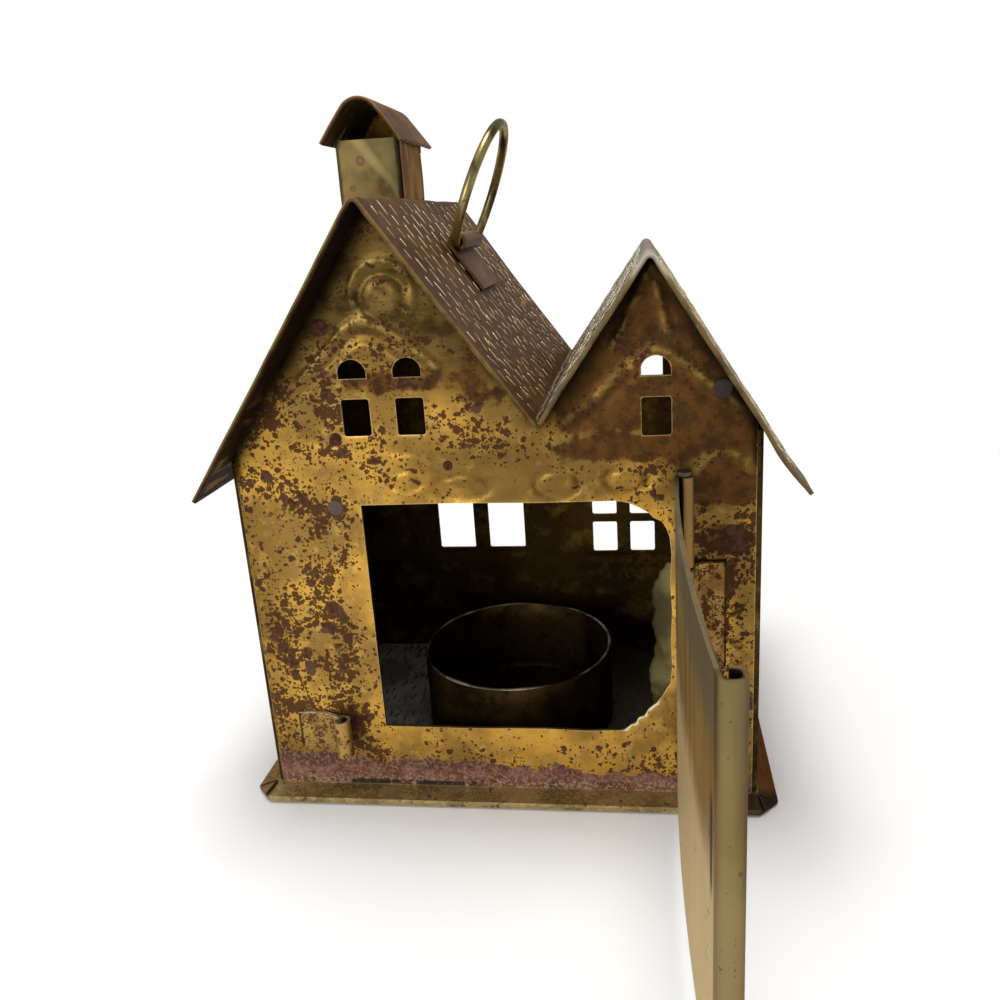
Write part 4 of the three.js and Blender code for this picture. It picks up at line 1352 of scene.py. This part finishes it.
def stroke_tree():
    """Staggered rows of short raised strokes on a flat field, longest along x."""
    tree = ShapeTree("pressed_strokes", (
        ("Rows", "NodeSocketInt", 10), ("Strokes", "NodeSocketInt", 10),
        ("Row Pitch", "NodeSocketFloat", 0.003), ("Stroke Pitch", "NodeSocketFloat", 0.007),
        ("Stroke Length", "NodeSocketFloat", 0.002), ("Stroke Width", "NodeSocketFloat", 0.0005),
        ("Stroke Height", "NodeSocketFloat", 0.0002), ("Wander", "NodeSocketFloat", 0.0004),
        ("Turn", "NodeSocketFloat", 0.15), ("Seed", "NodeSocketInt", 1),
        ("Material", "NodeSocketMaterial", None),
    ))
    given = tree.given
    field = tree.node("GeometryNodeMeshGrid", None, {
        "Size X": (given["Rows"] - 1) * given["Row Pitch"],
        "Size Y": (given["Strokes"] - 1) * given["Stroke Pitch"],
        "Vertices X": given["Rows"], "Vertices Y": given["Strokes"],
    })
    row = tree.math("FLOOR", (tree.node("GeometryNodeInputIndex") + 0.5) / given["Strokes"])
    stagger = (tree.math("MODULO", row, 2) - 0.5) * given["Stroke Pitch"] * 0.5
    wander = given["Wander"]
    shift = tree.node("ShaderNodeCombineXYZ", None, {
        0: tree.random(wander * -1, wander, given["Seed"] + 1),
        1: stagger + tree.random(wander * -1, wander, given["Seed"] + 2),
    })
    field = tree.node("GeometryNodeSetPosition", None, {"Geometry": field, "Offset": shift})
    stroke = tree.node("GeometryNodeMeshUVSphere", None, {"Segments": 6, "Rings": 4, "Radius": 1})
    vary = tree.random(0.6, 1.25, given["Seed"] + 3)
    scale = tree.node("ShaderNodeCombineXYZ", None, {
        0: given["Stroke Length"] * 0.5 * vary, 1: given["Stroke Width"] * 0.5,
        2: given["Stroke Height"],
    })
    angle = tree.random(given["Turn"] * -1, given["Turn"], given["Seed"] + 4)
    turn = tree.node("FunctionNodeEulerToRotation", None, {
        0: tree.node("ShaderNodeCombineXYZ", None, {2: angle}),
    })
    strokes = tree.node("GeometryNodeInstanceOnPoints", None, {
        "Points": field, "Instance": stroke, "Rotation": turn, "Scale": scale,
    })
    real = tree.node("GeometryNodeRealizeInstances", None, {"Geometry": strokes})
    tree.finish(tree.node("GeometryNodeSetMaterial", None, {
        "Geometry": real, "Material": given["Material"],
    }))
    return tree


STROKE_HEIGHT = 0.14
# How far the strokes stay away from ridges, from eaves and valley, and from the roofs' ends
RIDGE_GAP = 2.6
EAVE_GAP = 1.6
END_GAP = 1.5


def make_strokes(
    tree, name, material, line, wave, start, end, seed,
    row_pitch=2.5, stroke_pitch=6.2, length=3.6, width=0.54, wander=0.45, turn=0.1,
):
    """Strokes on one roof slope, from start to end of its line, over its whole depth."""
    low, high = ROOF_FRONT + END_GAP, ROOF_BACK - END_GAP
    slope = direction(start, end)
    reach = (end - start).length
    mesh = tree.mesh(name, {
        "Rows": int(reach / row_pitch), "Strokes": int((high - low) / stroke_pitch),
        "Row Pitch": row_pitch * MM, "Stroke Pitch": stroke_pitch * MM,
        "Stroke Length": length * MM, "Stroke Width": width * MM,
        "Stroke Height": STROKE_HEIGHT * MM, "Wander": wander * MM, "Turn": turn,
        "Seed": seed, "Material": material,
    })
    x, y, out = mesh_points(mesh).T
    s = x + reach / 2
    y = y + (low + high) / 2
    out = out + wave(s + run_along(line, start), y)
    placed = np.stack([
        start.x + slope.x * s - slope.y * out, y, start.y + slope.y * s + slope.x * out,
    ], axis=1)
    mesh.vertices.foreach_set("co", (placed * MM).ravel())
    mesh.update()
    turn_outwards(mesh)
    mesh.shade_smooth()
    add_piece(name, mesh, material, "house", "roof_brass")


def make_all_strokes(material, pale_material):
    """The strokes of all four slopes; low on the main roof they lie closer and more askew."""
    tree = stroke_tree()
    main, small = (MAIN_LINE, main_wave), (SMALL_LINE, small_wave)
    for name, finish, (line, wave), start, end, seed in (
        ("main_roof_left_strokes", material, main, LEFT_EAVE, MAIN_RIDGE, 11),
        ("main_roof_right_strokes", material, main, MAIN_RIDGE, VALLEY, 12),
        ("small_roof_left_strokes", pale_material, small, VALLEY, SMALL_RIDGE, 13),
        ("small_roof_right_strokes", material, small, SMALL_RIDGE, RIGHT_EAVE, 14),
    ):
        way = direction(start, end)
        first = Vector(start) + way * (RIDGE_GAP if start in (MAIN_RIDGE, SMALL_RIDGE) else EAVE_GAP)
        last = Vector(end) - way * (RIDGE_GAP if end in (MAIN_RIDGE, SMALL_RIDGE) else EAVE_GAP)
        if name == "main_roof_right_strokes":
            middle = first.lerp(last, 0.5)
            make_strokes(
                tree, "main_roof_low_strokes", finish, line, wave, middle, last, 15,
                row_pitch=2.3, stroke_pitch=4.6, length=3.2, width=0.42, wander=0.9, turn=0.4,
            )
            last = middle
        make_strokes(tree, name, finish, line, wave, first, last, seed)


def make_valley_solder(material):
    """Lumpy solder along the valley, where the small roof meets the main one."""
    path, radii = [], []
    dice = random.Random(7)
    y = ROOF_FRONT + END_GAP
    while y < ROOF_BACK - END_GAP:
        path.append((VALLEY[0] + dice.uniform(-0.25, 0.25), y, VALLEY[1] + 0.1))
        radii.append(dice.uniform(0.2, 0.5))
        y += 0.9
    mesh = tube_mesh("valley_solder", path, radii, 8)
    add_piece("valley_solder", mesh, material, "house", "steel_wire")


# Chimney, ring, cup

STACK_MIDDLE = sum(STACK_X) / 2
STACK_HALF = (STACK_X[1] - STACK_X[0]) / 2
CAP_APEX = (STACK_MIDDLE, CAP_EDGE + STACK_HALF * math.tan(CAP_SLOPE))
CAP_FOOT = CAP_APEX[1] - CAP_HALF_SPAN * math.tan(CAP_SLOPE)
CAP_LINE = bent_line([
    (STACK_MIDDLE - CAP_HALF_SPAN, CAP_FOOT), CAP_APEX, (STACK_MIDDLE + CAP_HALF_SPAN, CAP_FOOT),
], CAP_CROWN, 14)
# How far over the roof's line the stack's foot ends, and how deep its dents are
STACK_SEAT = 0.35
STACK_DENT = 0.15


def make_stack(material):
    """The chimney's square tube, a little dented, its foot cut to the slope of the roof."""
    x0, x1 = (x + s * WALL_SHEET / 2 for x, s in zip(STACK_X, (1, -1)))
    y0, y1 = (y + s * WALL_SHEET / 2 for y, s in zip(STACK_Y, (1, -1)))
    slope = direction(LEFT_EAVE, MAIN_RIDGE)

    def foot(x):
        return LEFT_EAVE[1] + ((x - LEFT_EAVE[0]) * slope.y + STACK_SEAT) / slope.x

    corners = [((x0 + x1) / 2, y0), (x1, y0), (x1, y1), (x0, y1), (x0, y0), ((x0 + x1) / 2, y0)]
    line = divided(bent_line(corners, 0.9, 5), 1.2)[:-1]
    sides = side_directions(line + line[:1])[:-1]
    levels = 24
    count = len(line)
    verts, under, faces = [], [], []
    for row in range(levels + 1):
        for face, inner in ((WALL_SHEET / 2, 0), (-WALL_SHEET / 2, 1)):
            for (x, y), side in zip(line, sides):
                px, py = x - side.x * face, y - side.y * face
                low = foot(min(max(px, STACK_X[0]), STACK_X[1]))
                z = low + (STACK_TOP - low) * row / levels
                dent = 0 if row in (0, levels) else STACK_DENT * ripple(px + py, z, 12, 71)
                verts.append((px + side.x * dent, py + side.y * dent, z))
                under.append(inner)
            if row < levels:
                first = (2 * row + inner) * count
                faces += band(first, first + 2 * count, count)
    for first in (0, 2 * levels * count):
        faces += band(first, first + count, count)
    mesh = finished_mesh("chimney_stack_tube", verts, faces, 50, {"under": under})
    add_piece("chimney_stack_tube", mesh, material, "house", "brown_brass", ["chimney_stack"])


def make_lap(material):
    """The lapped end of the stack's sheet on its right face, its edge a little wavy."""
    verts = []
    levels = np.linspace(119.4, 133.6, 15)
    inner, outer = STACK_X[1] + 0.05, STACK_X[1] + 0.5
    front = STACK_Y[0] + 0.3
    for z in levels:
        back = STACK_Y[0] + 5.4 + 0.9 * math.sin((z - 118) * 0.28)
        verts += [(inner, front, z), (inner, back, z), (outer, back, z), (outer, front, z)]
    mesh = finished_mesh("chimney_lap", verts, bar_faces(len(levels), 4), 40)
    add_piece("chimney_lap", mesh, material, "house", "brown_brass")


def make_back_gable(material):
    """The sheet that closes the cap over the back of the stack."""
    left, right = STACK_X
    crown = [
        p for p in reversed(offset_line(CAP_LINE, -0.6 * WALL_SHEET))
        if abs(p[0] - STACK_MIDDLE) < STACK_HALF and p[1] > STACK_TOP
    ]
    loop = [(left, STACK_TOP - 2), (right, STACK_TOP - 2), (right, STACK_TOP), *crown, (left, STACK_TOP)]
    verts = [(x, y, z) for y in (STACK_Y[1] - WALL_SHEET, STACK_Y[1]) for x, z in loop]
    mesh = finished_mesh("chimney_back_gable", verts, bar_faces(2, len(loop)), 40)
    add_piece("chimney_back_gable", mesh, material, "house", "brown_brass")


def make_cap(material):
    """The chimney's bent cap, most uneven at its front edge."""
    def wave(s, a):
        curl = np.exp(-((a - CAP_Y[0]) / 3) ** 2)
        return 0.16 * ripple(s, a, 12, 73) * (0.4 + curl) + 0.02

    def marks(s, a, under):
        return shares(edge=0.8 * fade_out(np.minimum(s, s.max() - s), 0.7), under=under)

    mesh = swept_mesh(
        "chimney_cap_sheet", divided(CAP_LINE, 1), 0, -WALL_SHEET, CAP_Y[0], CAP_Y[1], 1.2,
        along_house, wave, marks,
    )
    add_piece("chimney_cap_sheet", mesh, material, "house", "brown_brass", ["chimney_cap"])


def make_ring(material):
    """The wire ring: a round bow with two tight corners and a straight foot in the strap."""
    centre = math.sqrt(RING_RADIUS ** 2 - RING_FOOT_HALF ** 2)
    corner = RING_CORNER
    end = math.sqrt((RING_RADIUS - corner) ** 2 - (centre - corner) ** 2)
    join = math.degrees(math.atan2(corner - centre, end))
    right = [(0.15, 0), (end, 0), *arc((end, corner), corner, -90, join + 90, 10)]
    bow = arc((0, centre), RING_RADIUS, join, 180 - 2 * join, 90)
    left = [(-y, z) for y, z in reversed(right)]
    flat = divided(right + bow + left[1:], 1.2)
    lean = Matrix.Rotation(RING_LEAN, 4, "Y")
    path = [tuple(Vector(RING_FOOT) + lean @ Vector((0, y, z))) for y, z in flat]
    mesh = tube_mesh("hanging_ring_wire", path, [WIRE_RADIUS] * len(path), 18)
    add_piece("hanging_ring_wire", mesh, material, "bail", "bright_brass", ["hanging_ring"])


def make_cup(material, wax_material):
    """The candle cup, its rim slightly out of true, with a trace of wax on its floor."""
    x0, y0 = CUP_CENTRE
    inner = CUP_RADIUS - WALL_SHEET
    inside_floor = CUP_FLOOR + WALL_SHEET
    profile = [
        (0, CUP_FLOOR), (CUP_RADIUS - 0.5, CUP_FLOOR), (CUP_RADIUS, CUP_FLOOR + 0.5),
        (CUP_RADIUS, 8), (CUP_RADIUS, 14), (CUP_RADIUS, CUP_RIM - 0.15), (CUP_RADIUS - 0.15, CUP_RIM),
        (inner + 0.1, CUP_RIM), (inner, CUP_RIM - 0.15), (inner, 14), (inner, 8),
        (inner, inside_floor + 0.7), (inner - 0.7, inside_floor), (0, inside_floor),
    ]

    def wobble(turn, z):
        if z < CUP_RIM - 0.2:
            return 0
        return 0.12 * math.sin(3 * turn + 1) + 0.06 * math.sin(8 * turn) - 0.16

    mesh = lathe_mesh("candle_cup_shell", profile, lambda x, y, z: (x0 + x, y0 + y, z), 96, wobble)
    add_piece("candle_cup_shell", mesh, material, "house", "dark_brass", ["candle_cup"])
    trace = [(0, 2.85), (12, 2.85), (12.6, 3.0), (12, 3.2), (4, 3.15), (0, 3.15)]
    mesh = lathe_mesh("cup_residue", trace, lambda x, y, z: (x0 + 1 + x, y0 - 1 + y * 0.9, z), 40)
    add_piece("cup_residue", mesh, wax_material, "house", "dark_brass")


# Base and fittings

# Half widths and depths of the base at its top and at its foot
BASE_TOP = (51.5, 32.3)
BASE_FOOT = (55, 37)
BASE_RIM = 1.2
BASE_CLIP = 4
# One corner of the base, on the right at the back: the ear's root and its two tips
EAR_ROOT = (51.2, 32.2, 1.95)
EAR_TIPS = ((54.4, 33.6, 1.5), (52, 36.3, 1.5))
EAR_DEPTH = 0.5
# Half the width of an ear's painted shadow strip, and where it ends over and under the ear's face
SEAM_HALF = 0.16
SEAM_TOP = 0.09
SEAM_FOOT = -0.27


def base_loop(half_x, half_y, z):
    """The outline of the base at one height, with its clipped corners."""
    clip = max(BASE_CLIP - (BASE_FOOT[0] - half_x) * 0.9, 0.9)
    loop = bent_line([
        (0, -half_y), (half_x - clip, -half_y), (half_x, -half_y + clip), (half_x, half_y - clip),
        (half_x - clip, half_y), (-half_x + clip, half_y), (-half_x, half_y - clip),
        (-half_x, -half_y + clip), (-half_x + clip, -half_y), (0, -half_y),
    ], 0.25, 3)
    return [(x, y, z) for x, y in loop[:-1]]


def make_base(material):
    """The base tray from its foot over the folded rim up to its flat top."""
    loops = []
    for inset, z in ((0.5, 0), (0, 0.3), (0, BASE_RIM - 0.2), (0.35, BASE_RIM + 0.12), (1.1, BASE_RIM)):
        loops.append(base_loop(BASE_FOOT[0] - inset, BASE_FOOT[1] - inset, z))
    for inset in (0, 6):
        loops.append(base_loop(BASE_TOP[0] - inset, BASE_TOP[1] - inset, TOP))
    verts = [point for loop in loops for point in loop]
    mesh = finished_mesh("base_tray", verts, bar_faces(len(loops), len(loops[0])), 30)
    add_piece("base_tray", mesh, material, "house", "olive_brass", ["base_plate"])


def make_base_ears(material, shadow_material):
    """The folded ears at the base's corners, with a strip of painted shadow along the seam at both sides
    of each.
    """
    ears, ear_faces = [], []
    shadow_strips, shadow_faces = [], []
    for sx in (-1, 1):
        for sy in (-1, 1):
            ear = [Vector((sx * x, sy * y, z)) for x, y, z in (EAR_ROOT, *EAR_TIPS)]
            ear_faces += bar_faces(2, 3, len(ears))
            ears += [*ear, *[point - Vector((0, 0, EAR_DEPTH)) for point in ear]]
            for tip in ear[1:]:
                shadow_faces += bar_faces(2, 4, len(shadow_strips))
                side = (tip - ear[0]).cross(Vector((0, 0, 1))).normalized() * SEAM_HALF
                for end in (ear[0], tip):
                    for way, lift in ((-1, SEAM_TOP), (1, SEAM_TOP), (1, SEAM_FOOT), (-1, SEAM_FOOT)):
                        shadow_strips.append(end + side * way + Vector((0, 0, lift)))
    mesh = finished_mesh("base_ears", ears, ear_faces, 30)
    add_piece("base_ears", mesh, material, "house", "olive_brass")
    mesh = finished_mesh("base_seams", shadow_strips, shadow_faces, 30)
    add_piece("base_seams", mesh, shadow_material, "house", "dark_brass")


# Axes of the rolled edges that are open at the top
ROLLS = {"catch_leaf": (-33.45, -35.3), "door_panel": (38.1, -105.4)}
ROLL_REACH = 1.2


def make_fittings(leaf_material, catch_material, door_material, pin_material, strap_material):
    """The pieces that keep the exact shape of their frame nodes."""
    for node, material, body, slot in (
        ("hinge_leaf", leaf_material, "house", "gold_brass"),
        ("catch_leaf", catch_material, "house", "gold_brass"),
        ("hinge_pin", pin_material, "house", "steel_wire"),
        ("ring_strap", strap_material, "house", "roof_brass"),
        ("door_panel", door_material, "door", "brown_brass"),
    ):
        mesh = rounded_copy(node)
        if node in ROLLS:
            mark_hollow(mesh, ROLLS[node], ROLL_REACH)
        if node == "door_panel":
            mark_outside(mesh, (1, 0, 0))
        add_piece(node + "_sheet", mesh, material, body, slot, [node])


# Floor, light and camera

CAMERA_AT = (29.53, -186.27, 116.38)
CAMERA_TURN = (73.975, 3.083, 6.578)
CAMERA_LENS = 31.124
CAMERA_SHIFT = (-0.0355, -0.0328)
STAGE_REACH = 3
SKY_STRENGTH = 0.52


def make_table():
    """The white table, which fades into a plain white sweep away from the lantern."""
    mesh = bpy.data.meshes.new("floor")
    corners = [(x * STAGE_REACH, y * STAGE_REACH, 0) for x, y in ((-1, -1), (1, -1), (1, 1), (-1, 1))]
    mesh.from_pydata(corners, [], [(0, 1, 2, 3)])
    floor = bpy.data.objects.new("floor", mesh)
    bpy.context.scene.collection.objects.link(floor)
    # A little below the lantern, so that no two faces lie in one plane
    floor.location.z = -0.2 * MM
    finish = Finish("pale_floor")
    finish.apply(colour("f4f4f4"), 0.8, 0.0)
    seen = finish.node("ShaderNodeLightPath", None, None, "Is Camera Ray")
    away = finish.step(finish.near((10, 0, 0), 100), 1.1, 3.0) * seen
    white = finish.node("ShaderNodeEmission", None, {"Color": WHITE, "Strength": 1})
    lit = Socket(finish, finish.shader.outputs["BSDF"])
    both = finish.node("ShaderNodeMixShader", None, {0: away, 1: lit, 2: white})
    finish.connect(finish.nodes["Material Output"].inputs["Surface"], both)
    mesh.materials.append(finish.material)


def make_sky():
    """A soft white light from all round; the camera sees it as plain white."""
    world = bpy.data.worlds.new("studio")
    bpy.context.scene.world = world
    bpy.context.scene.view_settings.view_transform = "Standard"
    world.use_nodes = True
    sky = NodeTree(world.node_tree)
    soft = sky.nodes["Background"]
    soft.inputs["Color"].default_value = WHITE
    soft.inputs["Strength"].default_value = SKY_STRENGTH
    plain = sky.node("ShaderNodeBackground", None, {"Color": WHITE})
    seen = sky.node("ShaderNodeLightPath", None, None, "Is Camera Ray")
    lit = Socket(sky, soft.outputs["Background"])
    both = sky.node("ShaderNodeMixShader", None, {0: seen, 1: lit, 2: plain})
    sky.connect(sky.nodes["World Output"].inputs["Surface"], both)


def add_lamp(name, place, aim, size, power):
    lamp = bpy.data.lights.new(name, "AREA")
    lamp.shape = "RECTANGLE"
    lamp.size, lamp.size_y = size
    lamp.energy = power
    holder = bpy.data.objects.new(name, lamp)
    holder.location = place
    holder.rotation_euler = (Vector(aim) - Vector(place)).to_track_quat("-Z", "Y").to_euler()
    bpy.context.scene.collection.objects.link(holder)


def make_light():
    add_lamp("key_softbox", (-0.45, -0.85, 0.34), (0, 0, 0.06), (0.5, 0.3), 3.4)
    add_lamp("top_softbox", (0.02, 0.02, 0.9), (0, 0, 0.06), (0.4, 0.3), 5.6)


def make_camera():
    camera = bpy.data.cameras.new("camera")
    camera.sensor_width = 36
    camera.lens = CAMERA_LENS
    camera.shift_x, camera.shift_y = CAMERA_SHIFT
    camera.clip_start = 0.01
    holder = bpy.data.objects.new("camera", camera)
    holder.location = [c * MM for c in CAMERA_AT]
    holder.rotation_euler = [math.radians(a) for a in CAMERA_TURN]
    bpy.context.scene.collection.objects.link(holder)
    bpy.context.scene.camera = holder


def main():
    front = front_brass()
    leaf = aged_brass(
        "spotted_leaf_brass", "ae8a4c", "7c5c30", 0.86, borders=(("X", 44.4), ("Z", 52.8)), scale=0.6,
    )
    catch = aged_brass(
        "catch_brass", "b08e50", "7c6538", 0.84, borders=(("X", -43.7),), scale=0.5, bare_from=19,
    )
    flap = aged_brass("dull_green_brass", "746b44", "4a432b", 0.2, 0.5, 0.6)
    dome = blister_finish()
    main_roof = roof_patina("main_roof_patina", "7e5a36", "664528", 0.6, 122.6)
    strap = roof_patina("strap_patina", "96765a", "7a5a42", 0.6)
    small_roof = roof_patina("small_roof_patina", "7e6e58", "645541", 0.62, 106.5, "766c5c")
    stroke = stroke_brass("stroke_brass", "ecd4aa", "a08560")
    pale_stroke = stroke_brass("pale_stroke_brass", "d4c8ae", "988c76")
    # The cap's underside: painted shade with bright streaks of painted reflection
    cap = roof_patina(
        "chimney_cap_patina", "9a7450", "725234", 0.6,
        lit_below=200, lit_from=CAP_Y[0] + 2, inner="3c3018", lining="f0cc84", along=(0.25, 1, 0.25),
    )
    stack = chimney_brass()
    back_gable = aged_brass("orange_back_brass", "d89a44", "84592a", 0.2)
    base = base_brass()
    seam = plain_finish("seam_shadow", "17130f", 0.6, 0.2)
    # Dark brass for the candle cup
    cup = aged_brass(
        "smoked_cup_brass", "4c3a20", "20170c", 0.35, 0.42, 0.75, "140e08", bare_from=CUP_RIM - 0.3,
    )
    residue = plain_finish("cup_residue", "4a3220", 0.5, 0.2)
    pin = plain_finish("dull_pin_steel", "5c5548", 0.45, 0.8)
    solder = plain_finish("grey_solder", "746650", 0.5, 0.5)

    make_front_wall(front)
    make_opening_flap(flap)
    make_domes(dome)
    make_back_wall(front)
    make_side_wall("left_side_wall", -1, front)
    make_side_wall("right_side_wall", 1, front)
    make_roofs(main_roof, small_roof)
    make_all_strokes(stroke, pale_stroke)
    make_valley_solder(solder)
    make_stack(stack)
    make_lap(stack)
    make_back_gable(back_gable)
    make_cap(cap)
    make_ring(polished_wire())
    make_cup(cup, residue)
    make_base(base)
    make_base_ears(base, seam)
    NODES["floor_plate"].data.materials.clear()
    NODES["floor_plate"].data.materials.append(floor_with_painted_light())
    make_fittings(leaf, catch, streaked_brass(), pin, strap)
    make_table()
    make_sky()
    make_light()
    make_camera()


main()
